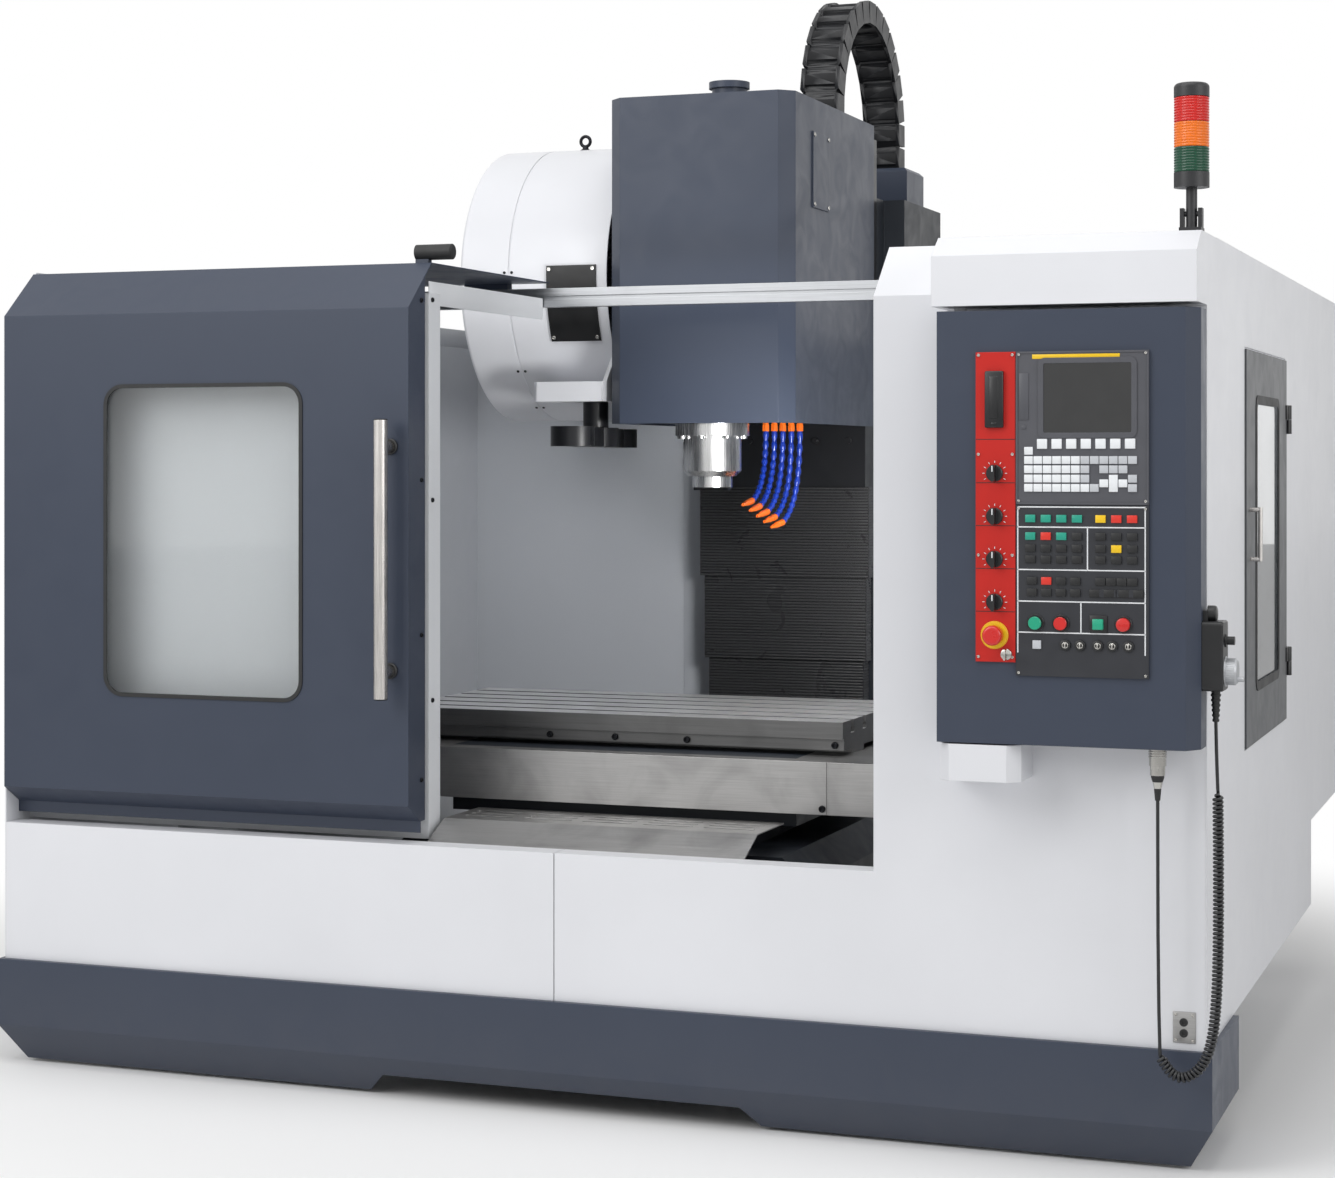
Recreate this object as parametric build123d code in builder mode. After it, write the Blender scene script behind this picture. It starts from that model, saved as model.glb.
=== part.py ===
# Vertical machining centre: sliding front door, swivelling control, drum tool magazine and cable chain.
# Millimetres. X runs to the right, Y to the back and Z up, from the centre line, the plane of the white
# front panels and the floor. Each finished piece is carried to the part's own frame when it is saved.
from build123d import *
import os
from math import cos, pi, radians, sin, tan

os.makedirs("parts", exist_ok=True)

# Overall sizes
body_half = 1416
body_top = 1890
body_bottom = 250
side_depth = 1850
machine_depth = 2500
sheet = 3
slide_gap = 0.3
overrun = 20

# Skirt round the foot
skirt_proud = 12
skirt_wall = 4
skirt_lift = 8
skirt_band = 94
skirt_tuck = 50
skirt_return = 370
notch_half = 474
notch_height = 50

# White front panels
sill_top = 574
sill_depth = 60
pillar_left = 725
roof_slope_low = 1778
roof_slope_depth = 125
roof_depth = 760

# Front door, shown slid open to the left
door_left = -1412
door_width = 1064
door_front = -10
door_depth = 85
door_face_low = 660
door_face_high = 1777
door_tuck_depth = 60
door_tuck_height = 40
door_flange = 26
door_top = 1885
door_slope_depth = 120
door_roof_depth = 795
window_width = 515
window_height = 720
window_corner = 45
window_from_left = 279
window_middle = 1248
pane_thick = 8
seal_width = 14
handle_dia = 32
handle_length = 620
handle_middle = 1214
handle_inset = 44
handle_reach = 50
handle_post_dia = 24
handle_post_span = 502
buffer_dia = 34
buffer_width = 45
buffer_plate = 17
buffer_inset = 12
rail_low = 1820
rail_high = 1867
rail_front = 762
rail_depth = 28
hanger_length = 120
hanger_inset = 160
pocket_front = 95
pocket_top = 1815

# Work chamber
chamber_half = 1000
chamber_back = 1790
chamber_top = 1765
way_opening_half = 330
way_opening_low = 700
tray_top = 616
tray_back = 340
tray_bend = 150
tray_left = -335
tray_right = 420
slot_length = 120
slot_width = 14
slot_count = 5
slot_pitch = 146
slot_rows = 3
slot_row_pitch = 36

# Bed, column and feet
bed_low = 70
bed_top = 560
bed_half = 520
bed_front = 200
bed_waist = 1650
bed_back = 2320
bed_tail_half = 420
bed_chamfer = 60
way_width = 90
way_spacing = 600
way_height = 40
foot_dia = 130
foot_stem_dia = 40
foot_disc = 30
foot_inset = 110
column_half = 300
column_front = 1830
column_back = 2300
column_top = 2169
column_taper = 60
column_way_width = 80
column_way_spacing = 400
column_way_front = 1755.3
column_way_low = 720

# Saddle, its guards and the table
saddle_half = 430
saddle_front = 400
saddle_back = 1000
saddle_top = 755
guard_front = 350
guard_low = 636
guard_half = 960
guard_seam = 519
groove = 4
table_length = 1140
table_width = 560
table_top = 834
table_band = 40
table_lower_band = 26
table_recess = 10
table_rest_x = -48
table_middle_y = 744
rib_width = 90
rib_spacing = 300
t_slot_count = 5
t_slot_pitch = 100
t_slot_neck = 18
t_slot_neck_depth = 16
t_slot_wide = 30
t_slot_wide_depth = 14

# Head, spindle and cover
spindle_y = 1050
head_half = 248
head_front = 940
head_depth = 760
head_low = 1529
head_top = 2364
head_corner = 35
cover_wall = 3
casting_gap = 6
casting_low = 1535
slide_half = 240
slide_low = 1362
slide_high = 2330
slide_front = 1640
slide_bolt_dia = 18
slide_bolt_head = 8
slide_bolt_count = 5
slide_bolt_pitch = 96
slide_bolt_z = 1490
flange_dia = 190
flange_low = 1498
flange_bolts = 8
flange_bolt_circle = 170
nose_dia = 150
nose_low = 1394
nose_chamfer = 14
nose_end_dia = 104
nose_end = 1366
shaft_dia = 82
taper_dia = 44.45
taper_small_dia = 25.4
taper_depth = 65.4
vent_x = 60
vent_y = 1010
vent_dia = 104
vent_height = 34
vent_rim = 8
access_front = 1115
access_width = 142
access_low = 2084
access_height = 196
access_thick = 4

# Coolant hoses made of tapered segments
hose_count = 5
hose_dia = 16
hose_waist_share = 0.72
hose_segments = 9
hose_overlap = 3
hose_root = Vector(72, 1273, 1512)
hose_root_step = Vector(21, 8, 0)
hose_tip = Vector(84, 1046, 1321)
hose_tip_step = Vector(9, 31, -15)
fitting_dia = 19

# Telescopic guard of the vertical ways, four nested sections
z_guard_half = 246
z_guard_front = 1650
z_guard_depth = 50
z_guard_step = 10
z_guard_wall = 4
z_guard_lows = (1111, 879, 740, bed_top)
z_guard_highs = (slide_low, 1189, 957, 820)
z_rib_pitch = 22
z_rib_height = 6
z_rib_proud = 3

# Drum magazine and tool changer
drum_right = -280
drum_length = 420
drum_dia = 745
drum_y = 1390
drum_z = 1917
drum_wall = 4
drum_seam_inset = 140
drum_edge = 10
bracket_plate = 11
bracket_low = 1588
bracket_top = 2060
bracket_front = 990
port_inset = 29
port_width = 139
port_low = 1748
port_height = 197
port_thick = 6
disc_dia = 560
disc_thick = 40
pot_count = 16
pot_dia = 62
pot_length = 118
pot_circle = 470
hub_dia = 150
changer_left = -476
changer_low = 1588
changer_high = 1640
changer_front = 985
changer_back = 1140
changer_edge = 12
arm_x = -323
arm_half = 323
arm_low = 1470
arm_high = 1520
arm_width = 60
arm_park = 78
arm_hub_dia = 120
arm_ring_dia = 66
grip_dia = 63
grip_wall = 26

# Cable chain and its box on the column
chain_x = 150
chain_width = 109
chain_front = 1527
chain_back = 2158
chain_top = 2733
chain_height = 62
chain_links = 16
chain_bar_share = 0.8
chain_band_share = 0.5
link_plate_share = 0.9
bar_height_share = 0.84
chain_bar_length_share = 0.46
box_half = 95
box_top = 2289
box_edge = 10

# Control, hood and bracket
hood_left = 882
hood_front = -130
hood_low = 1745
hood_face_high = 1847
hood_top = 1889
hood_slope = 60
control_left = 894
control_overhang = 2
control_right = body_half + control_overhang
control_back = -25
control_low = 865
control_high = 1735
control_corner_x = 24
control_corner_y = 38
pivot_x = 930
pivot_dia = 26
pivot_length = 45
bracket_right = 1062
bracket_arm_low = 787
bracket_arm_high = 862
bracket_corner = 25
strip_left = 976
strip_right = 1057
unit_right = 1323
panel_low = 1004
panel_high = 1651
panel_thick = 6
panel_gap = 1
screen_left = 1114
screen_width = 175
screen_margin = 24
screen_height = 138
screen_middle = panel_high - screen_margin - screen_height / 2
screen_edge = 5
key_left = 1084
key_pitch = 18.85
key_row_pitch = 18.4
key_width = 16.7
key_height = 14.8
key_proud = 3
key_rows = (
    (0, 1, 2, 3, 4, 5, 6, 7, 8, 9, 10, 11),
    (0, 1, 2, 3, 4, 5, 6, 8, 9, 10),
    (0, 1, 2, 3, 4, 5, 6, 11),
    (0, 1, 2, 3, 4, 5, 6, 7, 11),
)
cursor_columns = (8, 10)
cursor_middle = 9
cursor_row = 2.5
soft_key_count = 7
soft_key_x = 1199
soft_key_pitch = 29.2
soft_key_width = 19.7
soft_key_height = 19
soft_key_gap = 12.8
soft_key_z = screen_middle - screen_height / 2 - soft_key_gap - soft_key_height / 2
key_gap = 15.3
key_top = soft_key_z - soft_key_height / 2 - key_gap - key_height / 2
unit_foot = 26.9
panel_split = key_top - (len(key_rows) - 1) * key_row_pitch - key_height / 2 - unit_foot
panel_key_width = 19.5
panel_key_height = 14.5
panel_key_proud = 4
group_xs = (1134.5, 1259.5)
upper_columns = (4, 3)
upper_pitch = 31.2
lower_columns = (4, 4)
lower_pitches = (29, 21)
upper_row_shares = (0.921, 0.818, 0.748, 0.683)
lower_row_shares = (0.557, 0.49)
switch_row_share = 0.185
switch_shares = (0.162, 0.377, 0.489, 0.622, 0.731, 0.851)
strip_rise = 26
knob_x = 1015
knob_dia = 34
knob_height = 24
knob_skirt_height = 6
knob_edge = 2
knob_grip_width = 9
knob_heights = (1408, 1322, 1236, 1150)
estop_z = 1084
estop_dia = 40
estop_height = 26
estop_stem_dia = 22
estop_collar_dia = 54
estop_collar = 5
estop_travel = 5
estop_edge = 6.5
lock_x_strip = 1040
lock_z = 1046
lock_dia = 22
lock_height = 10
lock_key_width = 20
lock_key_thick = 3
lock_key_height = 16
port_cover_width = 37
port_cover_height = 113
port_cover_z = 1556
port_cover_thick = 9
port_cover_edge = 3
button_rise = 106
button_z = panel_low + button_rise
button_xs = (1098, 1149, 1224, 1273.5)
button_dia = 26
button_height = 9
button_travel = 4
button_edge = 1
button_stem_dia = 13
button_collar_dia = 34
button_collar = 3

# Hand pendant and its cord
pendant_thick = 42
pendant_front = -88
pendant_depth = 70
pendant_low = 979
pendant_high = 1117
pendant_edge = 8
pendant_face_edge = 2.7
pendant_hook = 20
wheel_dia = 52
wheel_z = 1017
wheel_width = 24
wheel_edge = 4
crank_dia = 10
crank_length = 12
crank_offset = 15
selector_dia = 17
selector_z = 1078
selector_length = 18
boot_length = 60
boot_top_dia = 18
boot_low_dia = 11
cord_dia = 7
coil_dia = 23
cord_exit_inset = 23
cord_exit_x = control_right + cord_exit_inset
cord_exit_y = -53
plug_x = 1330
plug_y = -75
plug_dia = 30
plug_nut_dia = 26
plug_low = 781
plug_nut = 809
plug_grip = 18
plug_grip_proud = 2
bend_share = 0.45

# Tower light
tower_inset = 26
tower_x = body_half - tower_inset
tower_y = -30
tower_dia = 70
tower_low = 1977
lens_count = 3
lens_height = 50
tower_foot = 30
tower_cap = 28
tower_cap_edge = 9
pole_dia = 22
knuckle_high = 1936
knuckle_width = 44
knuckle_plate = 8
lens_gap = 0.3
core_dia = 40

# Side door, cabinet and sockets
side_door_front = 548
side_door_back = 1281
side_door_low = 795
side_door_high = 1684
side_door_frame = 26
side_door_proud = 16
side_gap = 4
side_window_front = 705
side_window_back = 1120
side_window_low = 916
side_window_high = 1578
hinge_dia = 14
hinge_length = 70
hinge_lows = (1500, 905)
pull_length = 120
pull_dia = 10
pull_reach = 22
pull_inset = 60
pull_middle = 1270
cabinet_left = 720
cabinet_low = 474
cabinet_margin = 30
cabinet_lock_dia = 28
cabinet_lock_shares = (0.25, 0.75)
cabinet_back = 2478

# Places worked out from the sizes above
door_right = door_left + door_width
window_x = door_left + window_from_left + window_width / 2
control_front = hood_front
strip_face = control_front - panel_thick
side_x = control_right
pendant_face = side_x + pendant_thick
pendant_reach = pendant_face + wheel_width + crank_length
front_reach = strip_face - estop_collar - slide_gap - estop_height
frame_origin = Vector(
    (pendant_reach - body_half - skirt_proud) / 2,
    (front_reach + machine_depth) / 2,
    0,
)


def front_facing(x, y, z):
    """The upright plane at a point, seen from the front: X to the right, Z up, facing the viewer."""
    return Plane((x, y, z), x_dir=(1, 0, 0), z_dir=(0, -1, 0))


def right_facing(x, y, z):
    """The upright plane at a point, seen from the right: Y to the right, Z up, facing right."""
    return Plane((x, y, z), x_dir=(0, 1, 0), z_dir=(1, 0, 0))


def up_facing(x, y, z):
    """The level plane at a point, facing up."""
    return Plane((x, y, z))


def front_plane(y):
    """The front-facing plane at a depth."""
    return front_facing(0, y, 0)


def side_plane(x):
    """The right-facing plane at a place across the machine."""
    return right_facing(x, 0, 0)


def save(piece, name):
    """Label a finished piece, carry it to the part's own frame and write it."""
    part = piece.part.moved(Location(-frame_origin))
    part.label = name
    export_step(part, f"parts/{name}.step")


def block(x, y, z, mode=Mode.ADD):
    """A box between its limits on each axis."""
    with Locations((sum(x) / 2, sum(y) / 2, sum(z) / 2)):
        Box(x[1] - x[0], y[1] - y[0], z[1] - z[0], mode=mode)


def prism(plane, points, depth, mode=Mode.ADD):
    """A straight-sided outline on a plane, drawn out along the plane's normal."""
    with BuildSketch(plane, mode=Mode.PRIVATE) as outline:
        with BuildLine():
            Polyline(*points, close=True)
        make_face()
    extrude(outline.sketch, amount=depth, mode=mode)


def folded_sheet(plane, points, width, wall=sheet):
    """A sheet folded along a line of points on a plane, its wall to the left, drawn out to its width."""
    line = [Vector(*point) for point in points]
    headings = [(after - before).normalized() for before, after in zip(line, line[1:])]
    inner = []
    for before, point, after in zip(headings[:1] + headings, line, headings + headings[-1:]):
        mitre = (before + after).normalized()
        across = Vector(-mitre.Y, mitre.X)
        inner.append(point + across * (wall / across.dot(Vector(-after.Y, after.X))))
    prism(plane, line + inner[::-1], width)


def disc(plane, dia, length, mode=Mode.ADD):
    """A round bar that starts on a plane and follows its normal."""
    with BuildSketch(plane, mode=Mode.PRIVATE) as ring:
        Circle(dia / 2)
    extrude(ring.sketch, amount=length, mode=mode)


# Bed: one casting with a broad front for the saddle and a narrower tail for the column
with BuildPart() as bed:
    with BuildSketch(Plane.XY.offset(bed_low)):
        with BuildLine():
            Polyline(
                (-bed_half, bed_front),
                (bed_half, bed_front),
                (bed_half, bed_waist),
                (bed_tail_half, bed_waist),
                (bed_tail_half, bed_back),
                (-bed_tail_half, bed_back),
                (-bed_tail_half, bed_waist),
                (-bed_half, bed_waist),
                close=True,
            )
        make_face()
    extrude(amount=bed_top - bed_low)
    sides = bed.faces().sort_by(Axis.Z)[-1].edges().filter_by(Axis.Y)
    chamfer(sides.sort_by(Axis.Y)[:2], bed_chamfer)
    for side in (-1, 1):
        way_x = side * way_spacing / 2
        block(
            (way_x - way_width / 2, way_x + way_width / 2),
            (bed_front, slide_front - overrun),
            (bed_top, bed_top + way_height),
        )
save(bed, "bed_casting")

# Levelling feet: a broad disc on the floor and a threaded stem up to the bed
with BuildPart() as feet:
    foot_xs = (-bed_tail_half + foot_inset, bed_tail_half - foot_inset)
    foot_ys = (bed_front + foot_inset, bed_waist - foot_inset, bed_back - foot_inset)
    with Locations(*[(x, y) for x in foot_xs for y in foot_ys]):
        Cylinder(foot_dia / 2, foot_disc, align=(Align.CENTER, Align.CENTER, Align.MIN))
        Cylinder(foot_stem_dia / 2, bed_low, align=(Align.CENTER, Align.CENTER, Align.MIN))
save(feet, "levelling_feet")

# Column: a tapered casting with two upright ways on its front
with BuildPart() as column:
    with BuildSketch(Plane.XY.offset(bed_top)):
        with Locations((0, (column_front + column_back) / 2)):
            Rectangle(2 * column_half, column_back - column_front)
    extrude(amount=column_top - bed_top)
    back_edges = column.edges().filter_by(Axis.Z).group_by(Axis.Y)[-1]
    chamfer(back_edges, column_taper)
    for side in (-1, 1):
        way_x = side * column_way_spacing / 2
        block(
            (way_x - column_way_width / 2, way_x + column_way_width / 2),
            (column_way_front, column_front),
            (column_way_low, column_top),
        )
save(column, "column")

# Skirt: a folded dark sheet round the foot, tucked in below, with a notch in the middle
with BuildPart() as skirt:
    outer = body_half + skirt_proud
    block((-outer, outer), (-skirt_proud, skirt_return), (skirt_lift, body_bottom))
    low_edges = skirt.faces().sort_by(Axis.Z)[0].edges()
    front_low = low_edges.filter_by(Axis.X).sort_by(Axis.Y)[0]
    chamfer([front_low] + low_edges.filter_by(Axis.Y), skirt_band - skirt_lift, skirt_tuck)
    open_faces = [skirt.faces().sort_by(Axis.Y)[-1], skirt.faces().sort_by(Axis.Z)[0]]
    offset(amount=-skirt_wall, openings=open_faces)
    block(
        (-body_half + skirt_return, body_half - skirt_return),
        (skirt_return / 2, skirt_return),
        (body_bottom - 2 * skirt_wall, body_bottom),
        mode=Mode.SUBTRACT,
    )
    prism(
        front_plane(-skirt_proud - overrun),
        [
            (-notch_half, 0),
            (-notch_half + notch_height, notch_height),
            (notch_half - notch_height, notch_height),
            (notch_half, 0),
        ],
        -(skirt_tuck + 2 * overrun),
        mode=Mode.SUBTRACT,
    )
save(skirt, "skirt")

# Left lower front panel: a white folded sheet with a sill on top
with BuildPart() as front_left:
    folded_sheet(
        side_plane(-body_half + sheet),
        [(sill_depth, sill_top), (0, sill_top), (0, body_bottom), (sill_depth, body_bottom)],
        body_half - sheet - panel_gap,
    )
save(front_left, "front_panel_left")

# Right front panel: sill below the opening and a full-height pillar with a sloped top
with BuildPart() as front_right:
    folded_sheet(
        side_plane(panel_gap),
        [(sill_depth, sill_top), (0, sill_top), (0, body_bottom), (sill_depth, body_bottom)],
        pillar_left,
    )
    folded_sheet(
        side_plane(pillar_left),
        [
            (roof_depth, body_top),
            (roof_slope_depth, body_top),
            (0, roof_slope_low),
            (0, body_bottom),
            (sill_depth, body_bottom),
        ],
        body_half - sheet - pillar_left,
    )
    prism(
        side_plane(pillar_left),
        [
            (0, sill_top - sheet),
            (0, roof_slope_low),
            (roof_slope_depth, body_top),
            (roof_slope_depth, sill_top - sheet),
        ],
        sheet,
    )
save(front_right, "front_panel_right")

# Side panels: sheets that follow the sloped front of the roof; the right one has a doorway
side_outline = [
    (0, body_bottom),
    (side_depth, body_bottom),
    (side_depth, body_top),
    (roof_slope_depth, body_top),
    (0, roof_slope_low),
]
with BuildPart() as left_side:
    prism(side_plane(-body_half), side_outline, sheet)
save(left_side, "left_side_panel")

hinge_x = body_half + hinge_dia / 2 + slide_gap
hinge_y = side_door_back + hinge_dia / 2
with BuildPart() as right_side:
    prism(side_plane(body_half - sheet), side_outline, sheet)
    block(
        (body_half - 2 * sheet, body_half + sheet),
        (side_door_front, side_door_back),
        (side_door_low, side_door_high),
        mode=Mode.SUBTRACT,
    )
    for low in hinge_lows:
        disc(up_facing(hinge_x, hinge_y, low), hinge_dia, hinge_length / 2)
        block((body_half, hinge_x), (hinge_y, hinge_y + 2 * hinge_dia), (low, low + hinge_length / 2))
save(right_side, "right_side_panel")

# Service door in the right side: a framed leaf hung at its rear edge
with BuildPart() as side_door:
    leaf_y = (side_door_front + side_gap, side_door_back - side_gap)
    leaf_z = (side_door_low + side_gap, side_door_high - side_gap)
    leaf_x = (body_half - side_door_proud, body_half + side_gap)
    block(leaf_x, leaf_y, leaf_z)
    block(
        (leaf_x[0], leaf_x[1] - sheet),
        (leaf_y[0] + side_door_frame, leaf_y[1] - side_door_frame),
        (leaf_z[0] + side_door_frame, leaf_z[1] - side_door_frame),
        mode=Mode.SUBTRACT,
    )
    block(
        leaf_x,
        (side_window_front, side_window_back),
        (side_window_low, side_window_high),
        mode=Mode.SUBTRACT,
    )
    for low in hinge_lows:
        knuckle_low = low + hinge_length / 2 + slide_gap
        disc(up_facing(hinge_x, hinge_y, knuckle_low), hinge_dia, hinge_length / 2)
        block(
            (leaf_x[1], hinge_x),
            (hinge_y - 2 * hinge_dia, hinge_y),
            (knuckle_low, knuckle_low + hinge_length / 2),
        )
save(side_door, "side_door")

# Pull bar of the service door, on two posts
with BuildPart() as side_pull:
    pull_y = leaf_y[0] + pull_inset
    for end in (-1, 1):
        post_z = pull_middle + end * (pull_length - pull_dia) / 2
        disc(right_facing(leaf_x[1], pull_y, post_z), pull_dia, pull_reach)
    disc(
        up_facing(leaf_x[1] + pull_reach, pull_y, pull_middle - pull_length / 2),
        pull_dia,
        pull_length,
    )
save(side_pull, "side_pull")

with BuildPart() as side_pane:
    block(
        (leaf_x[1] - sheet - pane_thick, leaf_x[1] - sheet),
        (side_window_front - seal_width, side_window_back + seal_width),
        (side_window_low - seal_width, side_window_high + seal_width),
    )
save(side_pane, "side_window")

# Electrical cabinet behind the right side, with a door on its back
with BuildPart() as cabinet:
    block((cabinet_left, body_half), (side_depth, cabinet_back), (cabinet_low, body_top))
    rim = (cabinet_left + cabinet_margin, body_half - cabinet_margin)
    block(
        rim,
        (side_depth + cabinet_margin, cabinet_back),
        (cabinet_low + cabinet_margin, body_top - cabinet_margin),
        mode=Mode.SUBTRACT,
    )
save(cabinet, "electrical_cabinet")

with BuildPart() as cabinet_door:
    block(
        (cabinet_left, body_half),
        (cabinet_back + slide_gap, machine_depth),
        (cabinet_low, body_top),
    )
    chamfer(cabinet_door.faces().sort_by(Axis.Y)[-1].edges(), sheet)
    lock_x = body_half - 2 * cabinet_margin
    for share in cabinet_lock_shares:
        lock_level = cabinet_low + share * (body_top - cabinet_low)
        disc(front_facing(lock_x, machine_depth, lock_level), cabinet_lock_dia, sheet, mode=Mode.SUBTRACT)
save(cabinet_door, "cabinet_door")

# Fixed panel that the open door slides in front of
with BuildPart() as pocket:
    folded_sheet(
        Plane.XY.offset(sill_top),
        [
            (-body_half + sheet, pocket_front),
            (door_right, pocket_front),
            (door_right, pocket_front + sill_depth),
        ],
        pocket_top - sill_top,
    )
save(pocket, "door_pocket_panel")

# Sliding door: a folded leaf with a sloped top, a roof that hangs on the rail and closed ends
slope_rise = (door_top - door_face_high) / door_slope_depth
with BuildPart() as door:
    folded_sheet(
        side_plane(door_left),
        [
            (door_roof_depth, door_top),
            (door_front + door_slope_depth, door_top),
            (door_front, door_face_high),
            (door_front, door_face_low),
            (door_front + door_tuck_depth, door_face_low - door_tuck_height),
            (door_front + door_tuck_depth, door_face_low - door_tuck_height - door_flange),
        ],
        door_width,
    )
    for end in (door_left, door_right - sheet):
        prism(
            side_plane(end),
            [
                (door_front, door_face_low),
                (door_front, door_face_high),
                (door_front + door_depth, door_face_high + slope_rise * door_depth),
                (door_front + door_depth, door_face_low - door_tuck_height),
                (door_front + door_tuck_depth, door_face_low - door_tuck_height),
            ],
            sheet,
        )
    for hanger_x in (door_left + hanger_inset, door_right - hanger_inset):
        block(
            (hanger_x - hanger_length / 2, hanger_x + hanger_length / 2),
            (rail_front, rail_front + rail_depth),
            (rail_high + slide_gap, door_top - sheet),
        )
    with BuildSketch(front_plane(door_front)):
        with Locations((window_x, window_middle)):
            RectangleRounded(window_width, window_height, window_corner)
    extrude(amount=-2 * sheet, mode=Mode.SUBTRACT)
    stop_y = door_front + door_slope_depth + buffer_dia / 2
    stop_z = body_top + sheet + buffer_dia / 2
    disc(right_facing(door_right - buffer_width, stop_y, stop_z), buffer_dia, 2 * buffer_width)
    block(
        (door_right - buffer_width, door_right - buffer_inset),
        (stop_y - buffer_plate / 2, stop_y + buffer_plate / 2),
        (door_top, stop_z),
    )
save(door, "door")

with BuildPart() as door_pane:
    with BuildSketch(front_plane(door_front + sheet)):
        with Locations((window_x, window_middle)):
            RectangleRounded(
                window_width + 2 * seal_width,
                window_height + 2 * seal_width,
                window_corner + seal_width,
            )
    extrude(amount=-pane_thick)
save(door_pane, "door_window")

# Door handle: a straight tube on two posts
with BuildPart() as handle:
    handle_x = door_right - handle_inset
    handle_y = door_front - handle_reach
    disc(up_facing(handle_x, handle_y, handle_middle - handle_length / 2), handle_dia, handle_length)
    for end in (-1, 1):
        post_z = handle_middle + end * handle_post_span / 2
        disc(front_facing(handle_x, door_front, post_z), handle_post_dia, handle_reach)
save(handle, "door_handle")

# Rail that the door hangs on, grooved along its front
with BuildPart() as rail:
    block(
        (-body_half + sheet, body_half - sheet),
        (rail_front, rail_front + rail_depth),
        (rail_low, rail_high),
    )
    rail_middle = (rail_low + rail_high) / 2
    block(
        (-body_half, body_half),
        (rail_front - overrun, rail_front + groove),
        (rail_middle - groove, rail_middle + groove),
        mode=Mode.SUBTRACT,
    )
save(rail, "door_rail")

# Slotted tray between the sill and the saddle guard
with BuildPart() as tray:
    folded_sheet(
        side_plane(tray_left),
        [(tray_back, tray_top), (tray_bend, tray_top), (sill_depth, sill_top)],
        tray_right - tray_left,
    )
    slot_middle = ((tray_left + tray_right) / 2, (tray_bend + tray_back) / 2)
    with BuildSketch(Plane.XY.offset(tray_top)):
        with Locations(slot_middle):
            with GridLocations(slot_pitch, slot_row_pitch, slot_count, slot_rows):
                SlotOverall(slot_length, slot_width)
    extrude(amount=-2 * sheet, mode=Mode.SUBTRACT)
save(tray, "sill_tray")

# Lining of the work chamber: one folded sheet, open at the back for the head and its ways
with BuildPart() as lining:
    folded_sheet(
        Plane.XY.offset(bed_top),
        [
            (-chamber_half, pocket_front + sheet),
            (-chamber_half, chamber_back),
            (chamber_half, chamber_back),
            (chamber_half, sheet),
        ],
        chamber_top - bed_top,
    )
    block(
        (-way_opening_half, way_opening_half),
        (chamber_back - overrun, chamber_back + overrun),
        (way_opening_low, chamber_top + overrun),
        mode=Mode.SUBTRACT,
    )
save(lining, "chamber_lining")

# Saddle: runs on the bed's ways, with keepers down between them
saddle_low = bed_top + way_height + slide_gap
keeper_half = (way_spacing - way_width) / 2 - slide_gap
with BuildPart() as saddle:
    block((-saddle_half, saddle_half), (saddle_front, saddle_back), (saddle_low, saddle_top))
    block(
        (-keeper_half, keeper_half),
        (saddle_front, saddle_back),
        (bed_top + way_height / 2, saddle_low),
    )
save(saddle, "saddle")

# Bright guard of the saddle: a front in three plates and a cover over the ways on each side
with BuildPart() as guard:
    folded_sheet(
        side_plane(-guard_half),
        [
            (saddle_front, saddle_top),
            (guard_front, saddle_top),
            (guard_front, guard_low),
            (guard_front + overrun, guard_low),
        ],
        2 * guard_half,
    )
    for side in (-1, 1):
        seam_x = side * guard_seam
        block(
            (seam_x - groove / 2, seam_x + groove / 2),
            (guard_front - sheet, guard_front + sheet / 2),
            (guard_low, saddle_top + sheet),
            mode=Mode.SUBTRACT,
        )
    folded_sheet(
        front_plane(saddle_back),
        [(guard_half, guard_low), (guard_half, saddle_top), (saddle_half, saddle_top)],
        saddle_back - saddle_front,
    )
    folded_sheet(
        front_plane(saddle_back),
        [(-saddle_half, saddle_top), (-guard_half, saddle_top), (-guard_half, guard_low)],
        saddle_back - saddle_front,
    )
save(guard, "saddle_guard")

# Table: a plate with T-slots along it, a recessed lower band and two ribs on the saddle
table_floor = table_top - table_band - table_lower_band
rib_height = table_floor - saddle_top - slide_gap
with BuildPart() as table:
    with BuildSketch(side_plane(table_rest_x - table_length / 2)):
        with Locations((table_middle_y, table_top - table_band / 2)):
            Rectangle(table_width, table_band)
        with Locations((table_middle_y, table_floor + table_lower_band / 2)):
            Rectangle(table_width - 2 * table_recess, table_lower_band)
        with Locations((table_middle_y, table_floor - rib_height / 2)):
            with GridLocations(rib_spacing, 0, 2, 1):
                Rectangle(rib_width, rib_height)
        with Locations((table_middle_y, table_top - t_slot_neck_depth / 2)):
            with GridLocations(t_slot_pitch, 0, t_slot_count, 1):
                Rectangle(t_slot_neck, t_slot_neck_depth, mode=Mode.SUBTRACT)
        with Locations((table_middle_y, table_top - t_slot_neck_depth - t_slot_wide_depth / 2)):
            with GridLocations(t_slot_pitch, 0, t_slot_count, 1):
                Rectangle(t_slot_wide, t_slot_wide_depth, mode=Mode.SUBTRACT)
    extrude(amount=table_length)
save(table, "table")

# Head casting: a body inside the cover and a slide that runs on the column's ways
with BuildPart() as head:
    block(
        (-head_half + cover_wall, head_half - cover_wall),
        (head_front + head_corner + overrun, slide_front),
        (casting_low, head_top - casting_gap),
    )
    block(
        (-slide_half, slide_half),
        (slide_front, column_way_front - slide_gap),
        (slide_low, slide_high),
    )
    with Locations(front_facing(0, slide_front, slide_bolt_z)):
        with GridLocations(slide_bolt_pitch, 0, slide_bolt_count, 1):
            Cylinder(slide_bolt_dia / 2, 2 * slide_bolt_head)
save(head, "head_casting")

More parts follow.
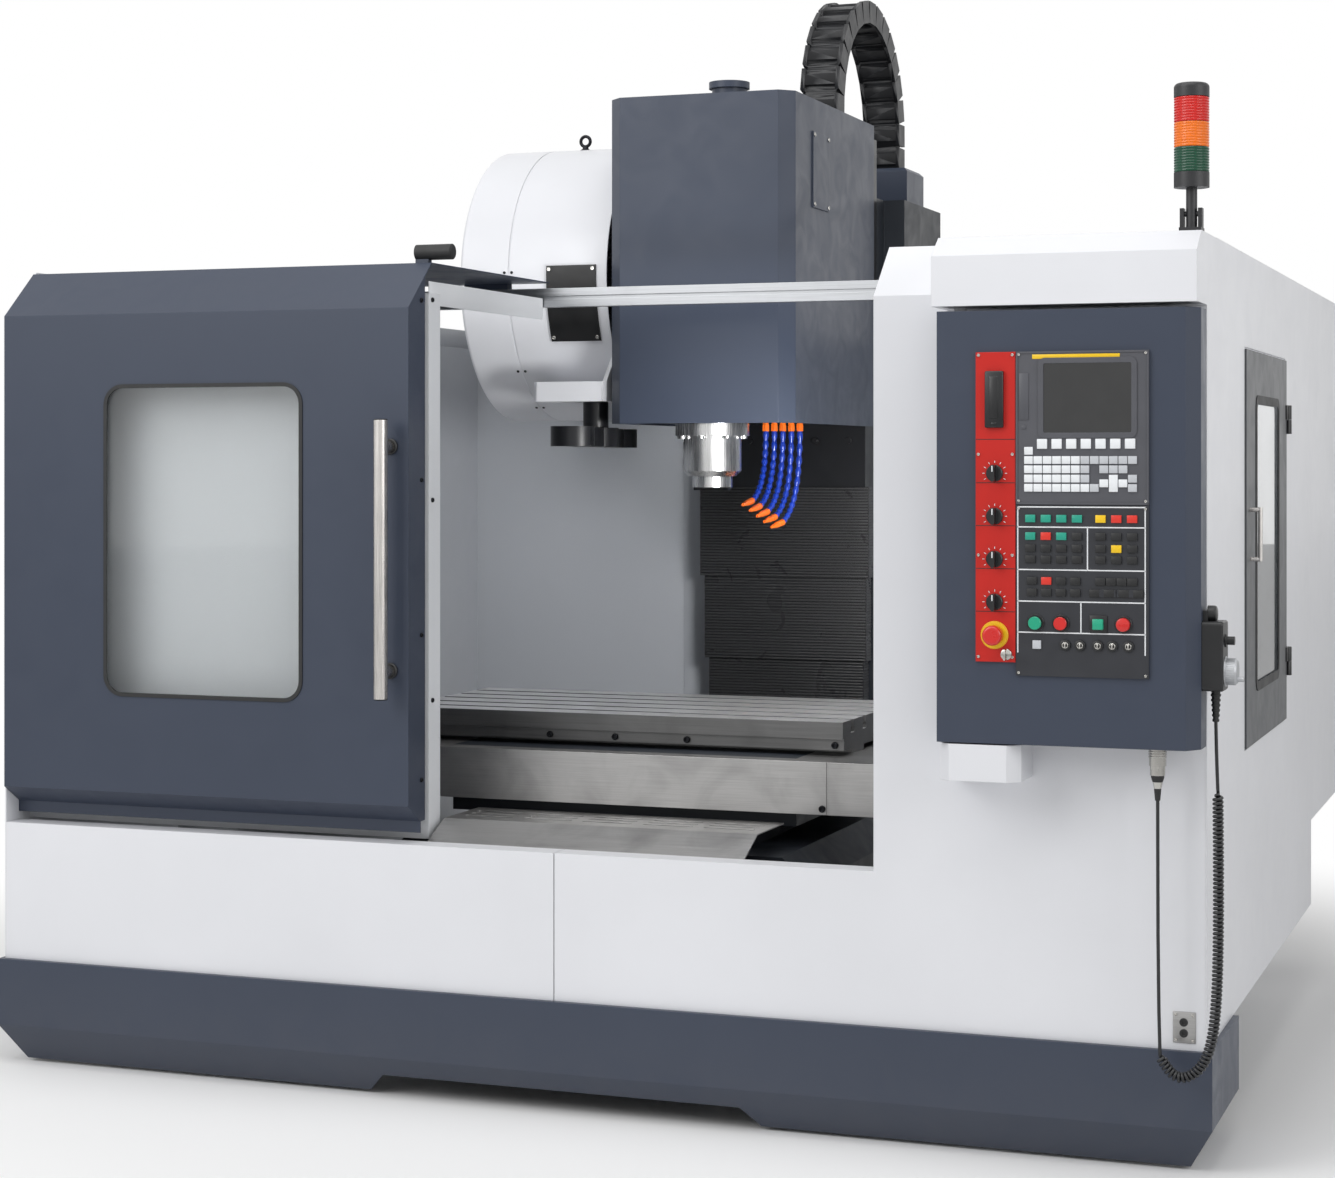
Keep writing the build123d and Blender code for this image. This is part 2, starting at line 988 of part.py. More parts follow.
# Spindle cartridge: a bolted flange and the nose housing, bored for the spindle
shaft_gap = 0.05
with BuildPart() as cartridge:
    with BuildSketch(Plane.XZ.offset(-spindle_y)):
        with BuildLine():
            Polyline(
                (shaft_dia / 2 + shaft_gap, casting_low),
                (flange_dia / 2, casting_low),
                (flange_dia / 2, flange_low),
                (nose_dia / 2, flange_low),
                (nose_dia / 2, nose_low + nose_chamfer),
                (nose_dia / 2 - nose_chamfer, nose_low),
                (shaft_dia / 2 + shaft_gap, nose_low),
                close=True,
            )
        make_face()
    revolve(axis=Axis((0, spindle_y, 0), (0, 0, 1)))
    with Locations(Plane.XY.offset(flange_low)):
        with Locations((0, spindle_y)):
            with PolarLocations(flange_bolt_circle / 2, flange_bolts):
                Cylinder(slide_bolt_dia / 2, slide_bolt_head, align=(Align.CENTER, Align.CENTER, Align.MAX))
save(cartridge, "spindle_cartridge")

# Spindle: the turning shaft with a short nose and a tapered bore
with BuildPart() as spindle:
    with BuildSketch(Plane.XZ.offset(-spindle_y)):
        with BuildLine():
            Polyline(
                (taper_dia / 2, nose_end),
                (nose_end_dia / 2, nose_end),
                (nose_end_dia / 2, nose_low - slide_gap),
                (shaft_dia / 2, nose_low - slide_gap),
                (shaft_dia / 2, casting_low - slide_gap),
                (0, casting_low - slide_gap),
                (0, nose_end + taper_depth),
                (taper_small_dia / 2, nose_end + taper_depth),
                close=True,
            )
        make_face()
    revolve(axis=Axis((0, spindle_y, 0), (0, 0, 1)))
save(spindle, "spindle")

# Sheet cover of the head: slanted front corners, open below and at the back
with BuildPart() as head_cover:
    head_back = head_front + head_depth
    with BuildSketch(Plane.XY.offset(head_low)):
        with BuildLine():
            Polyline(
                (-head_half, head_back),
                (-head_half, head_front + head_corner),
                (-head_half + head_corner, head_front),
                (head_half - head_corner, head_front),
                (head_half, head_front + head_corner),
                (head_half, head_back),
                close=True,
            )
        make_face()
    extrude(amount=head_top - head_low)
    open_faces = [head_cover.faces().sort_by(Axis.Z)[0], head_cover.faces().sort_by(Axis.Y)[-1]]
    offset(amount=-cover_wall, openings=open_faces)
    block(
        (head_half, head_half + access_thick),
        (access_front, access_front + access_width),
        (access_low, access_low + access_height),
    )
    disc(up_facing(vent_x, vent_y, head_top), vent_dia - 2 * vent_rim, vent_height)
    disc(up_facing(vent_x, vent_y, head_top + vent_height / 2), vent_dia, vent_height / 2)
save(head_cover, "head_cover")


def bezier(start, bend, end, t):
    """A point on a smooth bend between two ends."""
    return start * (1 - t) ** 2 + bend * (2 * t * (1 - t)) + end * t**2


# Coolant hoses: tapered segments that follow a bend from the head to beside the spindle
with BuildPart() as hoses:
    for index in range(hose_count):
        root = hose_root + hose_root_step * index
        tip = hose_tip + hose_tip_step * index
        bend = Vector(root.X, root.Y, tip.Z)
        disc(up_facing(root.X, root.Y, root.Z), fitting_dia, casting_low - root.Z)
        for segment in range(hose_segments):
            point = bezier(root, bend, tip, segment / hose_segments)
            heading = bezier(root, bend, tip, (segment + 1) / hose_segments) - point
            with Locations(Plane(point, z_dir=heading)):
                Cone(
                    hose_dia / 2,
                    hose_dia / 2 * hose_waist_share,
                    heading.length + hose_overlap,
                    align=(Align.CENTER, Align.CENTER, Align.MIN),
                )
save(hoses, "coolant_hoses")

# Telescopic guard of the upright ways: ribbed sections nested inside one another
z_guard_names = ("z_guard_upper", "z_guard_second", "z_guard_third", "z_guard_fixed")
for index, name in enumerate(z_guard_names):
    low, high = z_guard_lows[index], z_guard_highs[index]
    half = z_guard_half - index * z_guard_step
    front = z_guard_front + index * z_guard_step
    back = front + z_guard_depth
    lip = z_guard_step - z_guard_wall - slide_gap
    with BuildPart() as section:
        folded_sheet(
            Plane.XY.offset(low),
            [(-half, back), (-half, front), (half, front), (half, back)],
            high - low,
            wall=z_guard_wall,
        )
        rib_count = int((high - low) / z_rib_pitch)
        for rib in range(rib_count):
            rib_low = low + (rib + 1 / 2) * (high - low) / rib_count - z_rib_height / 2
            block((-half, half), (front - z_rib_proud, front), (rib_low, rib_low + z_rib_height))
        if index > 0:
            folded_sheet(
                Plane.XY.offset(high - z_rib_height),
                [
                    (-half - lip, back),
                    (-half - lip, front - lip),
                    (half + lip, front - lip),
                    (half + lip, back),
                ],
                z_rib_height,
                wall=lip + z_guard_wall,
            )
    save(section, name)

# Drum magazine cover: a can open towards its bracket, with a ring seam
drum_left = drum_right - drum_length
with BuildPart() as drum:
    disc(right_facing(drum_left, drum_y, drum_z), drum_dia, drum_length)
    fillet(drum.faces().sort_by(Axis.X)[0].edges(), drum_edge)
    disc(
        right_facing(drum_left + drum_wall, drum_y, drum_z),
        drum_dia - 2 * drum_wall,
        drum_length,
        mode=Mode.SUBTRACT,
    )
    with BuildSketch(right_facing(drum_left + drum_seam_inset, drum_y, drum_z)):
        Circle(drum_dia / 2 + overrun)
        Circle(drum_dia / 2 - drum_wall / 2, mode=Mode.SUBTRACT)
    extrude(amount=groove, mode=Mode.SUBTRACT)
save(drum, "magazine_cover")

# Dark window in the drum's front, bent to the drum
with BuildPart() as port:
    with BuildSketch(right_facing(drum_right - port_inset - port_width, drum_y, drum_z)):
        Circle(drum_dia / 2 + port_thick)
        Circle(drum_dia / 2 + slide_gap, mode=Mode.SUBTRACT)
    extrude(amount=port_width)
    block(
        (drum_left, drum_right),
        (drum_y - drum_dia, drum_y),
        (port_low, port_low + port_height),
        mode=Mode.INTERSECT,
    )
save(port, "magazine_port")

# Bracket that carries the drum on the column, with the changer's drive box under the drum
with BuildPart() as bracket:
    prism(
        right_facing(drum_right, 0, 0),
        [
            (column_front, bracket_low),
            (bracket_front, bracket_low),
            (bracket_front, changer_high),
            (drum_y, bracket_top),
            (column_front, bracket_top),
        ],
        bracket_plate,
    )
    block((changer_left, drum_right), (changer_front, changer_back), (changer_low, changer_high))
    box_edges = bracket.edges().filter_by(Axis.Z).sort_by(Axis.X)[:2]
    chamfer(box_edges, changer_edge)
save(bracket, "magazine_bracket")

# Tool disc inside the drum, with a ring of tool pots and a hub on the bracket
with BuildPart() as tool_disc:
    disc_x = drum_right - drum_length / 2 - pot_length / 2
    disc(right_facing(disc_x - disc_thick, drum_y, drum_z), disc_dia, disc_thick)
    disc(right_facing(disc_x, drum_y, drum_z), hub_dia, drum_right - slide_gap - disc_x)
    with Locations(right_facing(disc_x, drum_y, drum_z)):
        with PolarLocations(pot_circle / 2, pot_count):
            Cylinder(pot_dia / 2, pot_length, align=(Align.CENTER, Align.CENTER, Align.MIN))
save(tool_disc, "tool_disc")

# Changer arm: a bar on a hub with two bolted grippers, parked beside the head
with BuildPart() as arm:
    arm_plane = Plane((arm_x, spindle_y, arm_low)).rotated((0, 0, -arm_park))
    with BuildSketch(arm_plane):
        Rectangle(2 * arm_half, arm_width)
        Circle(arm_hub_dia / 2)
        with GridLocations(2 * arm_half, 0, 2, 1):
            Circle(grip_dia / 2 + grip_wall + shaft_gap, mode=Mode.SUBTRACT)
    extrude(amount=arm_high - arm_low)
    disc(up_facing(arm_x, spindle_y, arm_high), arm_ring_dia, changer_low - slide_gap - arm_high)
    with BuildSketch(arm_plane):
        with GridLocations(2 * arm_half, 0, 2, 1):
            Circle(grip_dia / 2 + grip_wall)
        with GridLocations(2 * arm_half, 0, 2, 1):
            Circle(grip_dia / 2, mode=Mode.SUBTRACT)
        with Locations((arm_half, grip_dia), (-arm_half, -grip_dia)):
            Rectangle(grip_dia, 2 * grip_dia, mode=Mode.SUBTRACT)
    extrude(amount=arm_high - arm_low)
save(arm, "tool_arm")

# Box on the column where the chain ends
with BuildPart() as chain_box:
    block(
        (chain_x - box_half, chain_x + box_half),
        (chain_back - box_half, chain_back + box_half),
        (column_top, box_top),
    )
    chamfer(chain_box.faces().sort_by(Axis.Z)[-1].edges(), box_edge)
save(chain_box, "chain_box")

# Cable chain: an inner band along the loop with side plates and cross bars on every link
loop_radius = (chain_back - chain_front) / 2
loop_y = (chain_back + chain_front) / 2
loop_z = chain_top - chain_height / 2 - loop_radius
rise = loop_z - head_top
fall = loop_z - box_top
chain_length = rise + pi * loop_radius + fall
link_pitch = chain_length / chain_links


def chain_place(run):
    """The place on the chain's middle line at a run from the head, heading along it."""
    if run < rise:
        return Plane((chain_x, chain_front, head_top + run), x_dir=(1, 0, 0), z_dir=(0, 0, 1))
    turn = (run - rise) / loop_radius
    if turn < pi:
        point = (chain_x, loop_y - loop_radius * cos(turn), loop_z + loop_radius * sin(turn))
        return Plane(point, x_dir=(1, 0, 0), z_dir=(0, sin(turn), cos(turn)))
    down = run - rise - pi * loop_radius
    return Plane((chain_x, chain_back, loop_z - down), x_dir=(1, 0, 0), z_dir=(0, 0, -1))


with BuildPart() as chain:
    band = chain_height * chain_band_share
    with BuildSketch(right_facing(chain_x - chain_width * chain_bar_share / 2, loop_y, loop_z)):
        with BuildLine():
            start = (-loop_radius, -rise)
            Line(start, (-loop_radius, 0))
            CenterArc((0, 0), loop_radius, 180, -180)
            Line((loop_radius, 0), (loop_radius, -fall))
        trace(line_width=band)
    extrude(amount=chain_width * chain_bar_share)
    block(
        (chain_x - chain_width / 2, chain_x + chain_width / 2),
        (chain_front - loop_radius / 2, chain_back + loop_radius / 2),
        (head_top - loop_radius, min(head_top, box_top)),
        mode=Mode.SUBTRACT,
    )
    plate = chain_width * (1 - chain_bar_share) / 2
    for link in range(chain_links):
        with Locations(chain_place((link + 1 / 2) * link_pitch)):
            with GridLocations(chain_width - plate, 0, 2, 1):
                Box(plate, chain_height, link_pitch * link_plate_share)
            Box(chain_width - plate, chain_height * bar_height_share, link_pitch * chain_bar_length_share)
save(chain, "cable_chain")

# Hood over the control, seated on the pillar and its slope
roof_rise = (body_top - roof_slope_low) / roof_slope_depth
with BuildPart() as hood:
    prism(
        side_plane(hood_left),
        [
            (0, hood_low),
            (hood_front, hood_low),
            (hood_front, hood_face_high),
            (hood_front + hood_slope, hood_top),
            ((hood_top - roof_slope_low) / roof_rise, hood_top),
            (0, roof_slope_low),
        ],
        body_half - hood_left,
    )
    pivot_y = (control_front + control_back) / 2
    disc(up_facing(pivot_x, pivot_y, hood_low - pivot_length), pivot_dia, pivot_length)
save(hood, "control_hood")

# Bracket under the control with the lower pivot
with BuildPart() as control_bracket:
    block((control_left, bracket_right), (control_front, 0), (bracket_arm_low, bracket_arm_high))
    chamfer(
        control_bracket.edges().filter_by(Axis.Z).sort_by(Axis.Y)[:2],
        bracket_corner,
    )
    washer_height = control_low - slide_gap - bracket_arm_high
    disc(up_facing(pivot_x, pivot_y, bracket_arm_high), 2 * pivot_dia, washer_height)
    disc(up_facing(pivot_x, pivot_y, bracket_arm_high), pivot_dia, pivot_length)
save(control_bracket, "control_bracket")

# Control housing: a deep box with a slanted right corner, hung on two pivots
with BuildPart() as control:
    with BuildSketch(Plane.XY.offset(control_low)):
        with BuildLine():
            Polyline(
                (control_left, control_back),
                (control_left, control_front),
                (control_right - control_corner_x, control_front),
                (control_right, control_front + control_corner_y),
                (control_right, control_back),
                close=True,
            )
        make_face()
    extrude(amount=control_high - control_low)
    pivot_hole = pivot_dia + 2 * shaft_gap
    low_depth = bracket_arm_high + pivot_length - control_low + slide_gap
    disc(up_facing(pivot_x, pivot_y, control_low), pivot_hole, low_depth, mode=Mode.SUBTRACT)
    high_depth = control_high - hood_low + pivot_length + slide_gap
    disc(up_facing(pivot_x, pivot_y, control_high - high_depth), pivot_hole, high_depth, mode=Mode.SUBTRACT)
save(control, "control_box")

# Screen unit: a plate with a sunk screen, soft keys below it and a block of keys
unit_left = strip_right + panel_gap
screen_x = screen_left + screen_width / 2
with BuildPart() as unit:
    block((unit_left, unit_right), (strip_face, control_front), (panel_split + panel_gap, panel_high))
    with Locations(front_facing(screen_x, strip_face, screen_middle)):
        Box(
            screen_width + 2 * screen_edge,
            screen_height + 2 * screen_edge,
            panel_thick,
            mode=Mode.SUBTRACT,
        )
    with Locations(front_facing(soft_key_x, strip_face, soft_key_z)):
        with GridLocations(soft_key_pitch, 0, soft_key_count, 1):
            Box(soft_key_width, soft_key_height, 2 * key_proud)
    with Locations(front_facing(key_left, strip_face, key_top)):
        places = [(column, row) for row, columns in enumerate(key_rows) for column in columns]
        places += [(0, -1)] + [(column, cursor_row) for column in cursor_columns]
        with Locations(*[(column * key_pitch, -row * key_row_pitch) for column, row in places]):
            Box(key_width, key_height, 2 * key_proud)
        with Locations((cursor_middle * key_pitch, -cursor_row * key_row_pitch)):
            Box(key_width, key_height + key_row_pitch, 2 * key_proud)
save(unit, "screen_unit")

with BuildPart() as glass:
    with Locations(front_facing(screen_x, strip_face + panel_thick / 4, screen_middle)):
        Box(screen_width + 2 * screen_edge, screen_height + 2 * screen_edge, panel_thick / 2)
save(glass, "screen_glass")

# Operator panel: rows of keys and a lower pair of collars for the start and hold buttons
panel_height = panel_split - panel_low
with BuildPart() as panel:
    block((unit_left, unit_right), (strip_face, control_front), (panel_low, panel_split))
    for side, group_x in enumerate(group_xs):
        for share in upper_row_shares:
            with Locations(front_facing(group_x, strip_face, panel_low + share * panel_height)):
                with GridLocations(upper_pitch, 0, upper_columns[side], 1):
                    Box(panel_key_width, panel_key_height, 2 * panel_key_proud)
        for share in lower_row_shares:
            with Locations(front_facing(group_x, strip_face, panel_low + share * panel_height)):
                with GridLocations(lower_pitches[side], 0, lower_columns[side], 1):
                    Box(panel_key_width, panel_key_height, 2 * panel_key_proud)
    with Locations(front_facing(unit_left, strip_face, panel_low + switch_row_share * panel_height)):
        with Locations(*[(share * (unit_right - unit_left), 0) for share in switch_shares]):
            Box(panel_key_height, panel_key_height, 2 * panel_key_proud)
    for button_x in button_xs:
        disc(front_facing(button_x, strip_face, button_z), button_collar_dia, button_collar)
    for button_x in button_xs[:2]:
        disc(
            front_facing(button_x, control_front, button_z),
            button_stem_dia + 2 * slide_gap,
            panel_thick + button_collar,
            mode=Mode.SUBTRACT,
        )
    with Locations(front_facing(button_xs[2], strip_face - button_collar, button_z)):
        Box(panel_key_width, panel_key_width, 2 * button_height)
    disc(front_facing(button_xs[-1], strip_face - button_collar, button_z), button_dia, button_height)
save(panel, "operator_panel")

# Switch strip: the port cover, the stop button's collar and the key lock
with BuildPart() as strip:
    block((strip_left, strip_right), (strip_face, control_front), (panel_low + strip_rise, panel_high))
    block(
        (knob_x - port_cover_width / 2, knob_x + port_cover_width / 2),
        (strip_face - port_cover_thick, strip_face),
        (port_cover_z - port_cover_height / 2, port_cover_z + port_cover_height / 2),
    )
    chamfer(strip.faces().sort_by(Axis.Y)[0].edges(), port_cover_edge)
    disc(front_facing(knob_x, strip_face, estop_z), estop_collar_dia, estop_collar)
    disc(
        front_facing(knob_x, control_front, estop_z),
        estop_stem_dia + 2 * slide_gap,
        panel_thick + estop_collar,
        mode=Mode.SUBTRACT,
    )
    disc(front_facing(lock_x_strip, strip_face, lock_z), lock_dia, lock_height)
    block(
        (lock_x_strip - lock_key_thick / 2, lock_x_strip + lock_key_thick / 2),
        (strip_face - lock_height - lock_key_height, strip_face - lock_height),
        (lock_z - lock_key_width / 2, lock_z + lock_key_width / 2),
    )
save(strip, "switch_strip")

# Rotary switches: a skirted knob with a grip bar across it
knob_names = ("mode_knob", "rapid_knob", "feed_knob", "speed_knob")
for name, knob_z in zip(knob_names, knob_heights):
    with BuildPart() as knob:
        disc(front_facing(knob_x, strip_face - slide_gap, knob_z), knob_dia, knob_skirt_height)
        chamfer(knob.faces().sort_by(Axis.Y)[0].edges(), knob_edge)
        with BuildSketch(front_facing(knob_x, strip_face - slide_gap, knob_z)):
            SlotOverall(knob_dia, knob_grip_width, rotation=90)
        extrude(amount=knob_height)
    save(knob, name)

# Emergency stop: a mushroom head on a stem that runs in the collar
with BuildPart() as estop:
    stem_start = strip_face - estop_collar - slide_gap
    disc(front_facing(knob_x, stem_start, estop_z), estop_stem_dia, estop_height)
    disc(
        front_facing(knob_x, stem_start - estop_travel - slide_gap, estop_z),
        estop_dia,
        estop_height - estop_travel - slide_gap,
    )
    fillet(estop.faces().sort_by(Axis.Y)[0].edges(), estop_edge)
save(estop, "emergency_stop")

# Start and hold buttons: caps that sink into their collars
for name, button_x in zip(("start_button", "hold_button"), button_xs):
    with BuildPart() as button:
        face = strip_face - button_collar - slide_gap
        cap_plane = front_facing(button_x, face - button_travel, button_z)
        disc(cap_plane, button_dia, button_height - button_travel)
        chamfer(button.faces().sort_by(Axis.Y)[0].edges(), button_edge)
        disc(front_facing(button_x, face, button_z), button_stem_dia, button_travel)
    save(button, name)

# Hand pendant on the side of the control: hook above, boot of the cord below, a selector on its face
pendant_y = pendant_front + pendant_depth / 2
with BuildPart() as pendant:
    block(
        (side_x, pendant_face),
        (pendant_front, pendant_front + pendant_depth),
        (pendant_low, pendant_high),
    )
    fillet(pendant.edges().filter_by(Axis.X), pendant_edge)
    chamfer(pendant.faces().sort_by(Axis.X)[-1].edges(), pendant_face_edge)
    block(
        (side_x, side_x + pendant_hook / 2),
        (pendant_y - pendant_hook, pendant_y + pendant_hook),
        (pendant_high, pendant_high + pendant_hook),
    )
    disc(right_facing(pendant_face, pendant_y, selector_z), selector_dia, selector_length)
    with Locations((cord_exit_x, cord_exit_y, pendant_low)):
        Cone(
            boot_low_dia / 2,
            boot_top_dia / 2,
            boot_length,
            align=(Align.CENTER, Align.CENTER, Align.MAX),
        )
save(pendant, "pendant")

with BuildPart() as wheel:
    disc(right_facing(pendant_face + slide_gap, pendant_y, wheel_z), wheel_dia, wheel_width - slide_gap)
    chamfer(wheel.faces().sort_by(Axis.X)[-1].edges(), wheel_edge)
    disc(
        right_facing(pendant_face + wheel_width, pendant_y, wheel_z - crank_offset),
        crank_dia,
        crank_length,
    )
save(wheel, "pendant_wheel")


def bend_radii(points):
    """The radius of each corner of a route: as large as its two runs allow."""
    radii = []
    for before, corner, after in zip(points, points[1:], points[2:]):
        run_in = corner - before
        run_out = after - corner
        half_turn = radians(run_in.get_angle(run_out)) / 2
        radii.append(bend_share * min(run_in.length, run_out.length) / tan(half_turn))
    return radii


def tube(points, dia):
    """A round tube along straight runs and tangent arcs."""
    with BuildLine(mode=Mode.PRIVATE) as route:
        FilletPolyline(*points, radius=bend_radii(points))
    with BuildSketch(Plane(route.line @ 0, z_dir=route.line % 0), mode=Mode.PRIVATE) as ring:
        Circle(dia / 2)
    sweep(ring.sketch, path=route.line)


# Cord of the pendant: a short lead, the curly stretch down to its loop, and the lead up to the plug
coil_points = [
    Vector(1445, -53, 775),
    Vector(1447, -52, 560),
    Vector(1443, -54, 340),
    Vector(1426, -58, 246),
    Vector(1388, -62, 208),
    Vector(1352, -66, 214),
    Vector(1334, -70, 252),
]
upper_lead_points = [
    Vector(cord_exit_x, cord_exit_y, pendant_low - boot_length),
    Vector(1442, -53, 860),
    coil_points[0],
]
lower_lead_points = [
    coil_points[-1],
    Vector(1330, -73, 420),
    Vector(plug_x, plug_y, plug_low),
]
with BuildPart() as coil:
    tube(coil_points, coil_dia)
save(coil, "cord_coil")

with BuildPart() as leads:
    tube(upper_lead_points, cord_dia)
    tube(lower_lead_points, cord_dia)
save(leads, "cord_leads")

# Plug of the cord under the control
with BuildPart() as plug:
    with Locations((plug_x, plug_y, plug_low)):
        Cone(
            cord_dia,
            plug_nut_dia / 2,
            plug_nut - plug_low,
            align=(Align.CENTER, Align.CENTER, Align.MIN),
        )
    disc(up_facing(plug_x, plug_y, plug_nut), plug_dia, control_low - plug_nut)
    with Locations((plug_x, plug_y, (plug_nut + control_low) / 2)):
        Cylinder(plug_dia / 2 + plug_grip_proud, plug_grip)
save(plug, "cord_plug")

# Tower light: foot with knuckle, pole, base, core and cap in black
lens_low = tower_low + tower_foot
cap_low = lens_low + lens_count * lens_height
with BuildPart() as mast:
    block(
        (tower_x - knuckle_width / 2, tower_x + knuckle_width / 2),
        (tower_y - knuckle_width / 2, tower_y + knuckle_width / 2),
        (hood_top, hood_top + knuckle_plate),
    )
    for side in (-1, 1):
        ear_x = tower_x + side * (knuckle_width - knuckle_plate) / 2
        block(
            (ear_x - knuckle_plate / 2, ear_x + knuckle_plate / 2),
            (tower_y - pole_dia / 2, tower_y + pole_dia / 2),
            (hood_top, knuckle_high),
        )
    disc(
        right_facing(tower_x - knuckle_width / 2, tower_y, knuckle_high - pole_dia / 2),
        pole_dia / 2,
        knuckle_width,
    )
    disc(up_facing(tower_x, tower_y, hood_top), pole_dia, tower_low - hood_top)
    disc(up_facing(tower_x, tower_y, tower_low), tower_dia, tower_foot)
    disc(up_facing(tower_x, tower_y, lens_low), core_dia, cap_low - lens_low)
    disc(up_facing(tower_x, tower_y, cap_low), tower_dia, tower_cap)
    fillet(mast.faces().sort_by(Axis.Z)[-1].edges(), tower_cap_edge)
save(mast, "tower_mast")

with BuildPart() as lenses:
    for index in range(lens_count):
        with BuildSketch(Plane((tower_x, tower_y, lens_low + index * lens_height))):
            Circle(tower_dia / 2)
            Circle(core_dia / 2 + lens_gap, mode=Mode.SUBTRACT)
        extrude(amount=lens_height - lens_gap)
save(lenses, "tower_lenses")
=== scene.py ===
"""Looks of a vertical machining centre, laid out as a Blender add-on and run as a script.

Places are millimetres from the machine's centre line, the plane of its white front panels and the
floor, as in the part's source. place() carries them to the part's own frame, in metres.
"""

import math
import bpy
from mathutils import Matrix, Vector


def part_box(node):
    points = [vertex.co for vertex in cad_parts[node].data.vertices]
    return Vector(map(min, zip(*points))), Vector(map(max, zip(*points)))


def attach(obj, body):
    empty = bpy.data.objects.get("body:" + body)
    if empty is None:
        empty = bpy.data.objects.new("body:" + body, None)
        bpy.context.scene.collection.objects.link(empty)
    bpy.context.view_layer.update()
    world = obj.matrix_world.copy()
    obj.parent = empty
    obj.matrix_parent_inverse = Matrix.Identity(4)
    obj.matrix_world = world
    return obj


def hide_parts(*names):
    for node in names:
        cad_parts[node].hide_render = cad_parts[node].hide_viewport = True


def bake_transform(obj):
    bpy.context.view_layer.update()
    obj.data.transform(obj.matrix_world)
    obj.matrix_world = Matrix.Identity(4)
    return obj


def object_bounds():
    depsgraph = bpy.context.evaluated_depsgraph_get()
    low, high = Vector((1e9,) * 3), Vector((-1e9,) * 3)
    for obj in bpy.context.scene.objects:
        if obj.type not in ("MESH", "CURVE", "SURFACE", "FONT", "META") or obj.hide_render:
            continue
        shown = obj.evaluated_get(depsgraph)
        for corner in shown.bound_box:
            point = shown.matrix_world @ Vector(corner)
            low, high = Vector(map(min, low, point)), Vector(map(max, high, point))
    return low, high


bl_info = {
    "name": "Machining centre looks",
    "version": (1, 0, 0),
    "blender": (4, 5, 0),
    "location": "3D View > Sidebar > Machine",
    "description": "Finishes, small fittings, cord and stage of a vertical machining centre",
    "category": "Object",
}

import bmesh
import bpy
from bpy.props import FloatProperty, FloatVectorProperty, IntProperty, PointerProperty
from mathutils import Matrix, Vector

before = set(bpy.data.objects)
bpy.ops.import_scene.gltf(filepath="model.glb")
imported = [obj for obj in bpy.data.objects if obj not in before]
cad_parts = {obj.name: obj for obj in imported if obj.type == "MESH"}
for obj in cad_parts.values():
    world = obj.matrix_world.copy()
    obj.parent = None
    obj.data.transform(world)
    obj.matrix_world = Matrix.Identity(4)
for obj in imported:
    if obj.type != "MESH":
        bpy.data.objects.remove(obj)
cad_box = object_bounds()

MM = 0.001
WELD = 1e-6
SHARP = math.radians(35)
FRONT = Vector((0, -1, 0))
RIGHT = Vector((1, 0, 0))
UP = Vector((0, 0, 1))
BACK = Vector((0, 1, 0))

# The two front panels meet a small gap right of the centre line, on the plane Y = 0
panel_gap = 1 * MM
machine_origin = Vector((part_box("front_panel_right")[0].x - panel_gap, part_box("front_panel_left")[0].y, 0))


def place(x, y, z):
    """A place on the machine in millimetres, carried to the part's frame in metres."""
    return machine_origin + Vector((x, y, z)) * MM


def linear(code):
    """An sRGB hex colour as linear red, green, blue and full alpha."""
    parts = [int(code[start : start + 2], 16) / 255 for start in (1, 3, 5)]
    return tuple(c / 12.92 if c <= 0.04045 else ((c + 0.055) / 1.055) ** 2.4 for c in parts) + (1.0,)


def shade(colour, share):
    """A colour made darker or lighter by a share."""
    return tuple(min(1.0, part * share) for part in colour[:3]) + (1.0,)


# ---------------------------------------------------------------- settings


def colour_setting(name, description, code):
    """A colour that a user may change, with its default as an sRGB hex value."""
    return FloatVectorProperty(
        name=name, description=description, default=linear(code), size=4, min=0, max=1, subtype="COLOR"
    )


def length_setting(name, description, default):
    """A length that a user may change, in metres with a default in millimetres."""
    return FloatProperty(
        name=name, description=description, default=default * MM, min=0, unit="LENGTH", precision=4
    )


def count_setting(name, description, default, least, most):
    """A number of like things that a user may change."""
    return IntProperty(name=name, description=description, default=default, min=least, max=most)


def power_setting(name, description, default):
    """The power of a light, in watts."""
    return FloatProperty(name=name, description=description, default=default, min=0, unit="POWER")


class FinishSettings(bpy.types.PropertyGroup):
    """Colours of the machine's finishes."""

    white_paint: colour_setting("White paint", "Powder coat of the panels, drum and hood", "#e3e4e8")
    slate_paint: colour_setting("Slate paint", "Powder coat of the door, skirt, head and control", "#3c4352")
    pocket_paint: colour_setting("Pocket paint", "Powder coat of the panel behind the front door", "#e4e6e9")
    side_paint: colour_setting("Side door paint", "Powder coat of the side door", "#55575a")
    lining_paint: colour_setting("Lining paint", "Powder coat of the work chamber", "#adb0b5")
    casting_enamel: colour_setting("Casting enamel", "Enamel of the bed, column and saddle", "#22262c")
    guard_black: colour_setting("Guard black", "Satin black of the head slide and changer arm", "#17181b")
    # Lighter than the guard black, as a painted highlight on the guard ribs
    rib_highlight_black: colour_setting("Rib black", "Coat of the ribs of the way guards, lighter as a painted highlight", "#3a3a3b")
    panel_red: colour_setting("Switch strip red", "Paint of the switch strip", "#c4231b")
    unit_grey: colour_setting("Screen unit grey", "Plastic of the screen unit", "#4e4f55")
    panel_black: colour_setting("Operator panel", "Printed film of the operator panel", "#25272d")
    hose_blue: colour_setting("Hose blue", "Acetal of the coolant hoses", "#1a3aa6")
    hose_orange: colour_setting("Nozzle orange", "Acetal of the hose fittings and nozzles", "#f0701c")
    lens_red: colour_setting("Red lens", "Top lens of the tower light", "#d8190f")
    lens_amber: colour_setting("Amber lens", "Middle lens of the tower light", "#f97a0a")
    lens_green: colour_setting("Green lens", "Bottom lens of the tower light", "#014a31")


